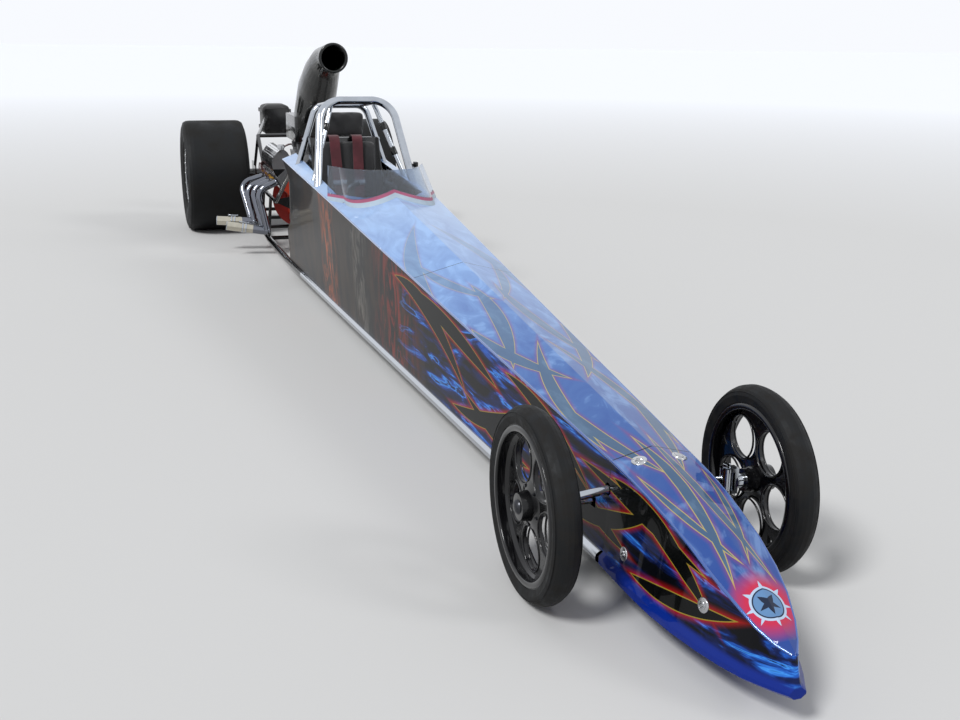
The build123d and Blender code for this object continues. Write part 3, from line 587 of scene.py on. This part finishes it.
def buildStage(settings):
    material, shader, point = makeMaterial("paleFloor", settings["near"], 0.9, Specular_IOR_Level=0.1)
    away = addNode("VectorMath", {0: point}, operation="LENGTH").outputs["Value"]
    share = mapRange(away, *settings["fade"])
    feed(shader, {"Base Color": mix(share, settings["near"], settings["far"])})
    shape = bmesh.new()
    bmesh.ops.create_grid(shape, x_segments=1, y_segments=1, size=settings["size"])
    floor = newObject("floor", shape, material)

    world = bpy.data.worlds.new("studio")
    world.use_nodes = True
    scene.world = world
    rays = addNode("LightPath", {}, world.node_tree).outputs
    seen = calc("MAXIMUM", rays["Is Camera Ray"], rays["Is Transmission Ray"])
    seen = calc("MAXIMUM", seen, rays["Is Glossy Ray"])
    strength = mapRange(seen, 0.0, 1.0, settings["worldStrength"], 1.0)
    feed(world.node_tree.nodes["Background"], {"Color": settings["sky"], "Strength": strength})
    for name, direction, power in settings["suns"]:
        lamp = bpy.data.objects.new(name, bpy.data.lights.new(name, "SUN"))
        lamp.data.energy = power
        lamp.data.angle = math.radians(settings["sunAngle"])
        lamp.rotation_euler = Vector(direction).to_track_quat("Z", "Y").to_euler()
        lamp.location = Vector(direction) * settings["sunAway"]
        scene.collection.objects.link(lamp)


buildStage(stageSettings)
scene.view_settings.view_transform = "Standard"
print("stage lit")


# shapes by operators

def at(x, y, z):
    # millimetres from the rear axle to metres in the shared frame
    return Vector((x / 1000 + rearAxleX, y / 1000, z / 1000))


def soften(shape, verts, amount, segments=2, least=40):
    chosen = set(verts)
    edges = [e for e in shape.edges if chosen.issuperset(e.verts) and len(e.link_faces) == 2
             and e.calc_face_angle(0) > math.radians(least)]
    bmesh.ops.bevel(shape, geom=edges, offset=amount, offset_type="OFFSET", segments=segments, profile=0.5,
                    affect="EDGES", material=-1)


def rod(shape, start, end, radius, sides=24, tip=None, soft=0.0):
    span = end - start
    matrix = Matrix.Translation((start + end) / 2) @ span.to_track_quat("Z", "Y").to_matrix().to_4x4()
    tip = radius if tip is None else tip
    verts = bmesh.ops.create_cone(shape, cap_ends=True, segments=sides, radius1=radius, radius2=tip,
                                  depth=span.length, matrix=matrix)["verts"]
    if soft:
        soften(shape, verts, soft)


def peg(shape, place, axis, low, high, radius, sides=24, tip=None, soft=0.0):
    # a rod along an axis, from low to high of the place
    rod(shape, place + axis * low, place + axis * high, radius, sides, tip, soft)


def slab(shape, low, high, soft, turn=None):
    matrix = Matrix.Translation((low + high) / 2) @ (turn or Matrix()) @ Matrix.Diagonal((*(high - low), 1))
    soften(shape, bmesh.ops.create_cube(shape, size=1, matrix=matrix)["verts"], soft)


def chain(shape, places):
    # corners joined one to the next
    verts, edges = bmesh.ops.create_vert(shape, co=places[0])["vert"], []
    for place in places[1:]:
        made = bmesh.ops.extrude_vert_indiv(shape, verts=[verts[-1]])
        verts += made["verts"]
        edges += made["edges"]
        verts[-1].co = place
    return verts, edges


def lathe(shape, profile, centre, axis, steps=48, closed=False):
    # rows of radius and height along the axis, spun round it
    profile = profile + profile[:1] if closed else profile
    axis = Vector(axis).normalized()
    radial = axis.orthogonal().normalized()
    verts, edges = chain(shape, [centre + radial * r + axis * h for r, h in profile])
    bmesh.ops.spin(shape, geom=verts + edges, cent=centre, axis=axis, angle=2 * math.pi, steps=steps,
                   use_merge=True, use_duplicate=False)


def ring(radius, count, start=0):
    # places round a circle, from a start in degrees
    turns = [math.radians(start + 360 / count * i) for i in range(count)]
    return [(radius * math.cos(turn), radius * math.sin(turn)) for turn in turns]


def drawAlong(shape, verts, edges, path, turning=True):
    # pulls open edges along a path of points
    closed = (path[0] - path[-1]).length < 1e-6
    ends = (path[-2], path[1]) if closed else (path[0], path[-1])
    padded = [ends[0], *path, ends[1]]
    tangents = [(after - before).normalized() for before, after in zip(padded, padded[2:])]
    for i in range(1, len(path)):
        made = bmesh.ops.extrude_edge_only(shape, edges=edges)["geom"]
        verts = [g for g in made if isinstance(g, bmesh.types.BMVert)]
        fresh = set(verts)
        edges = [g for g in made if isinstance(g, bmesh.types.BMEdge) and fresh.issuperset(g.verts)]
        if turning:
            turn = tangents[i - 1].rotation_difference(tangents[i]).to_matrix()
            bmesh.ops.rotate(shape, cent=path[i - 1], matrix=turn, verts=verts)
        bmesh.ops.translate(shape, vec=path[i] - path[i - 1], verts=verts)


def sweep(shape, path, radius, sides=10):
    ahead = (path[1] - (path[-2] if (path[0] - path[-1]).length < 1e-6 else path[0])).normalized()
    matrix = Matrix.Translation(path[0]) @ ahead.to_track_quat("Z", "Y").to_matrix().to_4x4()
    verts = bmesh.ops.create_circle(shape, segments=sides, radius=radius, matrix=matrix)["verts"]
    edges = list({e for v in verts for e in v.link_edges})
    drawAlong(shape, verts, edges, path)


def softPath(points, steps=7):
    path = []
    for i in range(len(points) - 1):
        a, b = points[max(i - 1, 0)], points[i]
        c, d = points[i + 1], points[min(i + 2, len(points) - 1)]
        part = interpolate_bezier(b, b + (c - a) / 6, c - (d - b) / 6, c, steps + 1)
        path += part[:-1]
    return path + [points[-1]]


def strap(shape, path, width, across, thick=0.0022):
    half = Vector(across).normalized() * width / 2
    before = set(shape.faces)
    drawAlong(shape, *chain(shape, [path[0] - half, path[0] + half]), path, turning=False)
    faces = [f for f in shape.faces if f not in before]
    bmesh.ops.recalc_face_normals(shape, faces=faces)
    bmesh.ops.solidify(shape, geom=faces, thickness=thick)


def bolt(shape, place, normal, size):
    normal = Vector(normal).normalized()
    peg(shape, place, normal, 0, size * 0.3, size * 1.3, 20, soft=size * 0.08)
    peg(shape, place, normal, size * 0.3, size * 1.05, size, 6, soft=size * 0.1)


def skinOf(node):
    shape = bmesh.new()
    shape.from_mesh(cadNodes[node].data)
    return shape


def onSkin(node, start, direction):
    # a point and normal on a node's skin, from outside
    skin = skinOf(node)
    tree = BVHTree.FromBMesh(skin)
    skin.free()
    return tree.ray_cast(start, Vector(direction).normalized())[:2]


def finishPiece(name, shape, material, body="chassis", smooth=40, replaced=()):
    bmesh.ops.remove_doubles(shape, verts=shape.verts, dist=0.00002)
    bmesh.ops.holes_fill(shape, edges=[e for e in shape.edges if len(e.link_faces) == 1], sides=0)
    bmesh.ops.recalc_face_normals(shape, faces=shape.faces)
    piece = newObject(name, shape, material)
    shadeSmooth(piece)
    piece.data.set_sharp_from_angle(angle=math.radians(smooth))
    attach(piece, body)
    if replaced:
        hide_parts(*replaced)
    return piece


def smoothCopy(node, material, smooth):
    # the same skin with its facets shaded soft
    finishPiece(node + "Skin", skinOf(node), material, "chassis", smooth, (node,))


# body: soft facets on the nose and scoop, beads on the top edges, fasteners

smoothCopy("nose_cone", racePaint, 17)
smoothCopy("air_scoop", scoopBlack, 38)

beadSettings = {"radius": 4.2, "from": 1884, "inset": 0.55, "sunk": 0.62}


def buildBeads(settings):
    shape = bmesh.new()
    radius = settings["radius"]
    for side in (-1, 1):
        path = [at(max(x * 1000, settings["from"]), side * (y * 1000 - radius * settings["inset"]),
                   z * 1000 - radius * settings["sunk"]) for x, y, z in edgeRows]
        sweep(shape, path, radius / 1000, 12)
    # the beads carry the painted edge highlight
    finishPiece("edgeBeads", shape, paintedEdgeHighlight, smooth=60)


buildBeads(beadSettings)

# x and z on the nose sides, x and y on the top
fastenerSettings = {"size": 0.021, "larger": 1.12, "height": 0.0032, "sides": [(6610, 163), (6990, 196)],
                    "tops": [(6528, 62)]}


def quarterTurn(shape, spot, size, height):
    place, normal = spot
    across = normal.orthogonal().normalized()
    peg(shape, place, normal, -0.002, height, size, 40, size * 0.93, height * 0.25)
    peg(shape, place, normal, 0, height * 1.5, size * 0.52, 32, soft=height * 0.2)
    for sign in (-size, size):
        pin = place + across * sign * 0.72
        peg(shape, pin, normal, 0, height * 1.4, size * 0.1, 12, soft=height * 0.12)
        land = place + normal * height * 1.7 + across.cross(normal) * sign * 0.2  # beside the driver slot
        peg(shape, land, across, -size * 0.36, size * 0.36, size * 0.1, 8)


def buildFasteners(settings):
    shape = bmesh.new()
    size, height = settings["size"], settings["height"]
    for side in (-1, 1):
        for x, z in settings["sides"]:
            quarterTurn(shape, onSkin("nose_cone", at(x, side * 600, z), (0, -side, 0)), size, height)
        for x, y in settings["tops"]:
            spot = onSkin("nose_cone", at(x, side * y, 900), (0, 0, -1))
            quarterTurn(shape, spot, size * settings["larger"], height)
    finishPiece("bodyFasteners", shape, polished)


buildFasteners(fastenerSettings)

stripSettings = {"bands": [("pale", 0.0, 0.0165, paleTape), ("pink", 0.0165, 0.027, pinkTape)],
                 "proud": 0.0007, "foot": (3240, 0, 748), "slope": (0.1012, 0.27)}


def cut(shape, faces, place, normal):
    geom = {*faces, *(e for f in faces for e in f.edges), *(v for f in faces for v in f.verts)}
    bmesh.ops.bisect_plane(shape, geom=list(geom), dist=1e-6, plane_co=place, plane_no=normal)


def buildScreenStrips(settings):
    # two bands along the foot of the screen, cut parallel to the ridged cowl
    for name, low, high, tape in settings["bands"]:
        shape = skinOf("windshield")
        bmesh.ops.remove_doubles(shape, verts=shape.verts, dist=0.00002)
        shape.normal_update()
        for vert, normal in [(v, v.normal.copy()) for v in shape.verts]:
            vert.co += normal * settings["proud"]
        for side in (-1, 1):
            cut(shape, shape.faces, Vector((0, 0, 0)), Vector((0, 1, 0)))
            for lift, keep in ((low, 1), (high, -1)):
                # only this side of the middle is cut
                plane = at(*settings["foot"]) + Vector((0, 0, lift))
                slope = Vector((settings["slope"][0], side * settings["slope"][1], 1))
                cut(shape, [f for f in shape.faces if f.calc_center_median().y * side > 0], plane, slope)
                over = [f for f in shape.faces if f.calc_center_median().y * side > 0
                        and (f.calc_center_median() - plane).dot(slope) * keep < 0]
                bmesh.ops.delete(shape, geom=over, context="FACES")
        finishPiece(name + "ScreenStrip", shape, tape, smooth=30)


buildScreenStrips(stripSettings)

screwSettings = {"radius": 0.0045, "away": (400, 250),
                 "rows": [(3215, 265, 702), (3370, 240, 672), (3560, 190, 664), (3690, 95, 674)]}


def buildScreenScrews(settings):
    shape = bmesh.new()
    dx, dy = settings["away"]
    for x, y, z in settings["rows"]:
        for side in (-1, 1):
            start = at(x + dx, side * (y + dy), z)
            place, normal = onSkin("windshield", start, at(x, side * y, z) - start)
            if place:
                peg(shape, place, normal, -0.001, 0.003, settings["radius"], 16, soft=0.001)
    finishPiece("screenScrews", shape, chrome)


buildScreenScrews(screwSettings)
print("body trim fitted")


# front wheels: rolled window edges, rolled rims, hub caps, valve stems

wheelSettings = {
    "x": 6474, "y": 354, "z": 279.4, "spokes": 5, "window": (131, 67, 66), "bead": 0.0032,
    "faces": ((0.0, 6 / 128.6), (-12.0, -6 / 158.6)), "rim": 198.6,  # out and slope of both faces of the disc
    "lipOut": 34.1, "lip": [(0.2080, -0.003), (0.2080, 0.0008), (0.2098, 0.0029), (0.2135, 0.0042),
                            (0.2190, 0.0044), (0.2240, 0.0032), (0.2272, 0.0008), (0.2275, 0.0)],
    "cap": [(0.0, 0.056), (0.012, 0.055), (0.019, 0.051), (0.022, 0.045)], "capBolts": (57, 8, 0.0055),
    "stem": (207, 60, -2),
}


def buildFrontWheelTrim(settings):
    middle, long, wide = settings["window"]
    for name, side in bothSides:
        axis = Vector((0, side, 0))

        def onWheel(dx, dz, out):
            return at(settings["x"] + dx, side * (settings["y"] + out), settings["z"] + dz)

        shape = bmesh.new()
        for i in range(settings["spokes"]):
            a = -math.radians(18 + 72 * i)
            for out, slope in settings["faces"]:
                path = []
                for cx, cz in ring(1, 40) + ring(1, 1):
                    along, over = middle + long * cx, wide * cz
                    radius, turn = math.hypot(along, over), a + math.atan2(over, along)
                    path.append(onWheel(radius * math.cos(turn), radius * math.sin(turn),
                                        out + slope * (settings["rim"] - radius)))
                sweep(shape, path, settings["bead"], 8)
        for face in (-1, 1):
            lip = at(settings["x"], side * settings["y"] + face * settings["lipOut"], settings["z"])
            lathe(shape, settings["lip"], lip, (0, face, 0), 96, closed=True)
        finishPiece("frontWheelEdges_" + name, shape, wheelBlack, "front_wheel_" + name, 60)
        shape = bmesh.new()
        lathe(shape, settings["cap"], onWheel(0, 0, 0), axis, 32)
        radius, out, size = settings["capBolts"]
        for dx, dz in ring(radius, 5, 54):
            bolt(shape, onWheel(dx, dz, out), axis, size)
        radius, turn, out = settings["stem"]
        peg(shape, onWheel(*ring(radius, 1, turn)[0], out), axis, 0, 0.026, 0.0035, 12, 0.0028, 0.0006)
        finishPiece("frontHubCap_" + name, shape, darkMetal, "front_wheel_" + name)


buildFrontWheelTrim(wheelSettings)

# name, material, centre, radius and out of each ring, size of the ring
tyreSettings = {"front": (tyreRubber, (6474, 354, 279.4), [(252, 36.6), (262, 37.6)], 0.0011),
                "rear": (slickRubber, (0, 569, 419), [(262, 216.5), (300, 223.6), (352, 229.6)], 0.0018)}


def buildTyreRings(settings):
    for end, (rubber, (x, y, z), rows, bead) in settings.items():
        for name, side in bothSides:
            shape = bmesh.new()
            for radius, out in rows:
                around = [(radius / 1000 + dr, dh * 1.2) for dr, dh in ring(bead, 8) + ring(bead, 1)]
                for face in (-1, 1):
                    lathe(shape, around, at(x, side * y + face * out, z), (0, 1, 0), 96)
            body = "front_wheel_" + name if end == "front" else "rear_wheels"
            finishPiece(end + "TyreRings_" + name, shape, rubber, body, 60)


buildTyreRings(tyreSettings)

rearWheelSettings = {
    "z": 419, "ringOut": 769.4, "bolts": (203, 16, 776, 0.0055), "nuts": (80, 5, 474),
    "ring": [(0.1925, 0.0), (0.2145, 0.0), (0.2145, 0.005), (0.212, 0.007), (0.196, 0.007), (0.1925, 0.004)],
}


def buildRearWheelTrim(settings):
    for name, side in bothSides:
        shape = bmesh.new()
        axis = Vector((0, side, 0))
        centre = at(0, side * settings["ringOut"], settings["z"])
        lathe(shape, settings["ring"], centre, axis, 72, closed=True)
        radius, count, out, size = settings["bolts"]
        for dx, dz in ring(radius, count):
            bolt(shape, at(dx, side * out, settings["z"] + dz), axis, size)
        finishPiece("beadRing_" + name, shape, polished, "rear_wheels")
        shape = bmesh.new()
        radius, count, out = settings["nuts"]
        for dx, dz in ring(radius, count):
            place = at(dx, side * out, settings["z"] + dz)
            peg(shape, place, axis, 0, 0.022, 0.012, 6, 0.0105, 0.0014)
            peg(shape, place, axis, 0.022, 0.034, 0.0062, 16, soft=0.001)
        finishPiece("lugNuts_" + name, shape, chrome, "rear_wheels")


buildRearWheelTrim(rearWheelSettings)
print("wheels trimmed")


# axle ends and steering

axleSettings = {"kingpin": (6474, 250, 285, 41), "rodEnd": (6389, 234, 232)}


def buildAxleTrim(settings):
    nuts, ends = bmesh.new(), bmesh.new()
    x, y, z, out = settings["kingpin"]
    for side in (-1, 1):
        for sign in (-1, 1):
            peg(nuts, at(x, side * y, z + sign * out), Vector((0, 0, sign)), 0, 0.011, 0.0125, 6, soft=0.0012)
    x, y, z = settings["rodEnd"]
    for side in (-1, 1):
        inward = Vector((0, -side, 0))
        peg(ends, at(x, side * y, z), inward, 0, 0.034, 0.0105, soft=0.001)
        peg(ends, at(x, side * y, z), inward, 0.034, 0.043, 0.0135, 6, soft=0.001)
    finishPiece("kingpinNuts", nuts, chrome)
    finishPiece("rodEnds", ends, chrome, "tie_rod")


buildAxleTrim(axleSettings)


# engine dressing

engineSettings = {
    "crankZ": 330, "ports": [1195, 1060, 925, 790], "outward": (0, 0.889, -0.457),
    "flange": (38, 262.5, 171.5), "rail": (760, 66, 8, 279, 239), "boot": (62, 268, 196),
    "wireOut": 309, "wireLevel": (226, 9), "cap": (690, 338),
    "capRows": [(0.0, 0.064), (0.034, 0.062), (0.048, 0.052), (0.052, 0.034), (0.052, 0.006), (0.049, 0.0)],
    "baseRows": [(0.0, 0.0), (0.047, -0.002), (0.049, -0.012), (0.046, -0.03), (0.03, -0.044),
                 (0.028, -0.128)],
}


def buildEngineTrim(settings):
    crank, out = settings["crankZ"], settings["wireOut"]
    bolts, boots, wires, cap, base = (bmesh.new() for i in range(5))
    for side in (-1, 1):
        normal = Vector(settings["outward"]) * Vector((1, side, 1))
        step, y, z = settings["flange"]
        for port in settings["ports"]:
            for dx in (-step, step):
                bolt(bolts, at(port + dx, side * y, crank + z), normal, 0.0055)
        start, step, count, y, z = settings["rail"]
        for i in range(count):
            bolt(bolts, at(start + i * step, side * y, crank + z), (0, side * 0.86, -0.5), 0.0045)
        back, y, z = settings["boot"]
        low, step = settings["wireLevel"]
        for rank, port in enumerate(settings["ports"]):
            foot = at(port - back, side * y, crank + z)
            boot = foot + Vector((0, side * 0.035, 0.006))
            rod(boots, foot, boot, 0.0085, 16, tip=0.0065, soft=0.001)
            level, inner = crank + low + step * rank, 708 - 12 * rank
            sweep(wires, softPath([
                boot, boot + Vector((-0.012, side * 0.014, 0.012)), at(port - 105, side * out, level),
                at(760, side * out, level), at(716, side * 292, level + 14), at(700, side * 190, crank + 330),
                at(inner, side * 90, crank + 384), at(inner, side * 44, crank + 372)]), 0.004, 8)
    x, z = settings["cap"]
    lathe(cap, settings["capRows"], at(x, 0, crank + z), (0, 0, 1), 40)
    lathe(base, settings["baseRows"], at(x, 0, crank + z), (0, 0, 1), 40)
    finishPiece("ignitionCap", cap, scoopBlack)
    finishPiece("ignitionBase", base, castMetal)
    finishPiece("engineBolts", bolts, steel)
    finishPiece("plugBoots", boots, bootSilicone)
    finishPiece("plugWires", wires, wireJacket, smooth=60)


buildEngineTrim(engineSettings)

coverSettings = {
    "rear": 764, "front": 1218, "ribs": 4, "low": (238, 732), "span": (56, -64),
    "filler": (1178, 224, 731),
    "fillerRows": [(0.0, 0.03), (0.02, 0.029), (0.026, 0.024), (0.027, 0.008), (0.022, 0.004),
                   (0.022, -0.004)],
}


def buildCoverTrim(settings):
    # cast ribs and a filler cap on each cover
    shape = bmesh.new()
    for side in (-1, 1):
        for i in range(settings["ribs"]):
            t = (i + 0.8) / (settings["ribs"] + 0.6)
            y, z = (low + span * t for low, span in zip(settings["low"], settings["span"]))
            ends = [at(settings[end], side * (y + 1), z - 0.4) for end in ("rear", "front")]
            rod(shape, *ends, 0.004, 10, soft=0.001)
        x, y, z = settings["filler"]
        lathe(shape, settings["fillerRows"], at(x, side * y, z), (0, 0, 1), 32)
    finishPiece("coverRibs", shape, polished)


buildCoverTrim(coverSettings)

# root, tip and radius of each collector
outletSettings = {"bareRoot": 0.34, "bands": (0.52, 0.6), "clamp": 0.56,
                  "rows": [((1212, 347, 173), (1172, 615, 213), 30), ((1004, 405, 206), (955, 658, 217), 31)],
                  "sleeveRows": [(0.0003, -0.5), (0.0009, -0.5), (0.0009, 0.5), (0.0003, 0.5)],
                  "bandRows": [(0.0025, -0.006), (0.0045, -0.005), (0.0045, 0.005), (0.0025, 0.006)],
                  "rimRows": [(-0.0028, -0.006), (0.0016, -0.003), (0.0022, 0.0), (-0.0012, 0.0018),
                              (-0.003, 0.0)]}


def buildOutletBands(settings):
    shape, sleeves = bmesh.new(), bmesh.new()
    bare = settings["bareRoot"]
    for side in (-1, 1):
        for (x0, y0, z0), (x1, y1, z1), radius in settings["rows"]:
            root, tip = at(x0, side * y0, z0), at(x1, side * y1, z1)
            ahead = (tip - root).normalized()

            def around(onto, rows, share, long=1, steps=40):
                profile = [(radius / 1000 + dr, h * long) for dr, h in settings[rows]]
                lathe(onto, profile, root.lerp(tip, share), ahead, steps, closed=True)

            around(sleeves, "sleeveRows", (1 + bare) / 2, (tip - root).length * (1 - bare), 48)
            for share in settings["bands"]:
                around(shape, "bandRows", share)
            middle = root.lerp(tip, settings["clamp"]) + Vector((0, 0, radius / 1000 + 0.009))
            peg(shape, middle, ahead, -0.03, 0.03, 0.004, 12, soft=0.0008)
            for sign in (-1, 1):
                bolt(shape, middle + ahead * sign * 0.028, ahead * sign, 0.006)
            around(shape, "rimRows", 1)
    finishPiece("outletBands", shape, chrome)
    finishPiece("outletSleeves", sleeves, outletChrome)


buildOutletBands(outletSettings)
print("engine dressed")


# cockpit: padded bands, belts, steering wheel grips

bandSettings = {"bands": [(0.32, 0.0225), (0.63, 0.025)], "radius": 0.0185, "top": (2500, 121, 1132),
                "foot": (2690, 272, 690), "box": ((2752, 297, 768), (2794, 318, 806)),
                "boxTie": ((2773, 274, 787), (2773, 298, 787))}


def buildBands(settings):
    shape = bmesh.new()
    for side in (-1, 1):
        top, foot = (at(x, side * y, z) for x, y, z in (settings["top"], settings["foot"]))
        ahead = (foot - top).normalized()
        for share, half in settings["bands"]:
            peg(shape, top.lerp(foot, share), ahead, -half, half, settings["radius"], 28, soft=0.003)
    slab(shape, *(at(*corner) for corner in settings["box"]), 0.004)
    rod(shape, *(at(*end) for end in settings["boxTie"]), 0.009, 20, soft=0.001)
    finishPiece("guardBands", shape, scoopBlack)


buildBands(bandSettings)

# the face of the back pad runs from x, z to x, z; pads are share up it, y and lift off it
beltSettings = {
    "face": ((2285, 885), (2480, 201.8)), "out": (0.962, 0.275), "widths": (0.062, 0.058, 0.044),
    "shoulder": ([(2182, 74, 872), (2196, 73, 905), (2240, 72, 917)],
                 [(-0.02, 70, 16), (0.12, 68, 19), (0.4, 60, 21), (0.66, 44, 23), (0.8, 26, 30)]),
    "lap": ([(2372, 186, 190), (2400, 172, 246), (2446, 120, 300)], [(0.82, 62, 33), (0.82, 22, 33)]),
    "crotch": ([(0.86, 0, 33), (0.93, 0, 42)], [(2556, 0, 222), (2600, 0, 214)]),
    "hub": [(0.0, 0.017), (0.02, 0.016), (0.024, 0.012), (0.036, 0.011), (0.039, 0.006), (0.039, 0.0),
            (0.0, -0.003)],
    "adjusters": [(0.72, 36, 24), (0.36, 61, 22)], "adjusterHalf": (0.004, 0.036, 0.014), "lean": -0.278,
}


def buildBelts(settings):
    (x0, z0), (x1, z1) = settings["face"]
    outX, outZ = settings["out"]
    shoulder, lap, crotch = settings["widths"]

    def onPad(share, y, lift):
        return at(x0 + (x1 - x0) * share + outX * lift, y, z0 + (z1 - z0) * share + outZ * lift)

    def belt(name, side):
        free, padded = settings[name]
        places = [at(x, side * y, z) for x, y, z in free]
        return softPath(places + [onPad(share, side * y, lift) for share, y, lift in padded])

    shape = bmesh.new()
    for side in (-1, 1):
        strap(shape, belt("shoulder", side), shoulder, (0, 1, 0))
        strap(shape, belt("lap", side), lap, (0.3, 0, 0.95))
    padded, free = settings["crotch"]
    strap(shape, softPath([onPad(*row) for row in padded] + [at(*row) for row in free]), crotch, (0, 1, 0))
    finishPiece("harness", shape, beltCloth)
    shape = bmesh.new()
    lathe(shape, settings["hub"], onPad(0.82, 0, 33), (outX, 0, outZ), 40)
    half = Vector(settings["adjusterHalf"])
    for side in (-1, 1):
        for share, y, lift in settings["adjusters"]:
            place = onPad(share, side * y, lift)
            slab(shape, place - half, place + half, 0.002, Matrix.Rotation(settings["lean"], 4, "Y"))
    finishPiece("buckles", shape, steel)


buildBelts(beltSettings)

# two rods at each side: place, how far the other end stands off, radius, rounding
gripSettings = {"rods": [((2985, 140, 530), (0, 0, 138), 0.0152, 0.003),
                         ((2978, 46, 600), (-6, 0, 0), 0.012, 0.001)],
                "pad": [(0.0, 0.012), (0.026, 0.012), (0.03, 0.009), (0.03, 0.0)], "padAt": (2978.5, 0, 603),
                "screws": (21, 6, 2968, 604)}


def buildGrips(settings):
    shape = bmesh.new()
    for side in (-1, 1):
        for (x, y, z), (dx, dy, dz), radius, soft in settings["rods"]:
            rod(shape, at(x, side * y, z), at(x + dx, side * (y + dy), z + dz), radius, soft=soft)
    finishPiece("wheelGrips", shape, gripRubber, "steering_wheel")
    shape = bmesh.new()
    lathe(shape, settings["pad"], at(*settings["padAt"]), (-0.995, 0, 0.097), 40)
    radius, count, x, z = settings["screws"]
    for dy, dz in ring(radius, count):
        peg(shape, at(x, dy, z + dz), Vector((-1, 0, 0)), 0, 0.0035, 0.003, 12, soft=0.0006)
    finishPiece("wheelCentre", shape, brushed, "steering_wheel")


buildGrips(gripSettings)
print("cockpit fitted")


# soft pieces

clothSettings = {"vertex_group_mass": "held", "quality": 4, "use_pressure": True,
                 "uniform_pressure_force": 4.0, "tension_stiffness": 12, "compression_stiffness": 6,
                 "bending_stiffness": 0.6}
clothFrames = 20


def applied(piece, kind, **values):
    # adds a modifier and applies it
    modifier = piece.modifiers.new(kind.lower(), kind)
    for key, value in values.items():
        setattr(modifier, key, value)
    if kind == "CLOTH":
        for key, value in clothSettings.items():
            setattr(modifier.settings, key, value)
        modifier.settings.effector_weights.gravity = 0
        modifier.point_cache.frame_start = 1
        modifier.point_cache.frame_end = clothFrames
        for number in range(1, clothFrames + 1):
            scene.frame_set(number)
    graph = bpy.context.evaluated_depsgraph_get()
    mesh = bpy.data.meshes.new_from_object(piece.evaluated_get(graph))
    piece.modifiers.clear()
    piece.data = mesh


def inflate(piece, settings):
    applied(piece, "REMESH", mode="VOXEL", voxel_size=settings["voxel"])
    rest = [v.co.copy() for v in piece.data.vertices]
    held = piece.vertex_groups.new(name="held")
    held.add([i for i, co in enumerate(rest) if settings["holds"](co)], 1.0, "REPLACE")
    applied(piece, "CLOTH")
    scene.frame_set(1)
    for vert, co in zip(piece.data.vertices, rest):
        shift = vert.co - co
        if shift.length > settings["most"]:
            vert.co = co + shift * (settings["most"] / shift.length)
    piece.vertex_groups.clear()
    applied(piece, "SMOOTH", factor=0.5, iterations=4)
    applied(piece, "SUBSURF", levels=1, render_levels=1)
    shadeSmooth(piece)


def near(value, places, reach=0.004):
    return any(abs(value - place) < reach for place in places)


seams = [at(x, 0, 0).x for x in (2560, 2640, 2720)]
headFront, packFront = at(2230, 0, 0).x, at(-486, 0, 0).x

# an outline in x and z, half width, rounding, how it swells, and where seams hold it
cushionSettings = {
    "seatCushion": {"outline": [(2462, 116), (2836, 116), (2836, 174), (2490, 192), (2458, 160)], "half": 184,
                    "soft": 0.018, "voxel": 0.006, "most": 0.009,
                    "holds": lambda co: near(co.x, seams) and co.z > 0.18},
    "backCushion": {"outline": [(2400, 118), (2452, 118), (2478, 196), (2286, 876), (2216, 876)], "half": 184,
                    "soft": 0.022, "voxel": 0.006, "most": 0.010,
                    "holds": lambda co: near(co.y, (-0.09, -0.03, 0.03, 0.09)) and co.z > 0.25},
    "headCushion": {"outline": [(2167, 907), (2233, 907), (2238, 1046), (2167, 1046)], "half": 126,
                    "soft": 0.02, "voxel": 0.005, "most": 0.007,
                    "holds": lambda co: near(co.y, (0.0,)) and co.x > headFront},
    "chutePack": {"outline": [(-718, 684), (-486, 684), (-486, 915), (-718, 915)], "half": 110,
                  "soft": 0.026, "voxel": 0.005, "most": 0.009,
                  "holds": lambda co: near(co.z, (0.735, 0.872), 0.005) or co.x > packFront},
}


def wedge(shape, outline, half, soft):
    # an outline in x and z drawn across to both sides
    verts, edges = chain(shape, [at(x, -half, z) for x, z in outline])
    face = bmesh.ops.contextual_create(shape, geom=verts)["faces"][0]
    made = bmesh.ops.extrude_face_region(shape, geom=[face])["geom"]
    fresh = [g for g in made if isinstance(g, bmesh.types.BMVert)]
    bmesh.ops.translate(shape, vec=(0, half / 500, 0), verts=fresh)
    bmesh.ops.recalc_face_normals(shape, faces=shape.faces)
    soften(shape, list(shape.verts), soft, 3, 30)


def buildCushion(name, replaced=()):
    settings = cushionSettings[name]
    shape = bmesh.new()
    wedge(shape, settings["outline"], settings["half"], settings["soft"])
    piece = finishPiece(name, shape, blackCloth, "chassis", 60, replaced)
    inflate(piece, settings)
    return piece


for name in ("seatCushion", "backCushion", "headCushion"):
    cushion = buildCushion(name, ("seat_pads",) if name == "backCushion" else ())
pack = buildCushion("chutePack", ("parachute_pack",))

packSettings = {"straps": (735, 872), "width": 0.026, "thick": 0.002, "back": -731, "capZ": 800,
                "corners": [(-486, 119), (-600, 121), (-716, 119), (-728, 100)],
                "cap": [(0.0, 0.012), (0.03, 0.011), (0.046, 0.006), (0.05, 0.0), (0.05, -0.004)]}


def buildPackStraps(settings):
    shape = bmesh.new()
    corners = settings["corners"]
    around = [(x, -y) for x, y in corners] + [(settings["back"], 0)] + corners[::-1]
    for z in settings["straps"]:
        path = softPath([at(x, y, z) for x, y in around], 5)
        strap(shape, path, settings["width"], (0, 0, 1), settings["thick"])
    finishPiece("packStraps", shape, strapCloth)
    shape = bmesh.new()
    lathe(shape, settings["cap"], at(settings["back"], 0, settings["capZ"]), (-1, 0, 0), 36)
    finishPiece("pilotCap", shape, strapCloth)


buildPackStraps(packSettings)
print("soft pieces made")
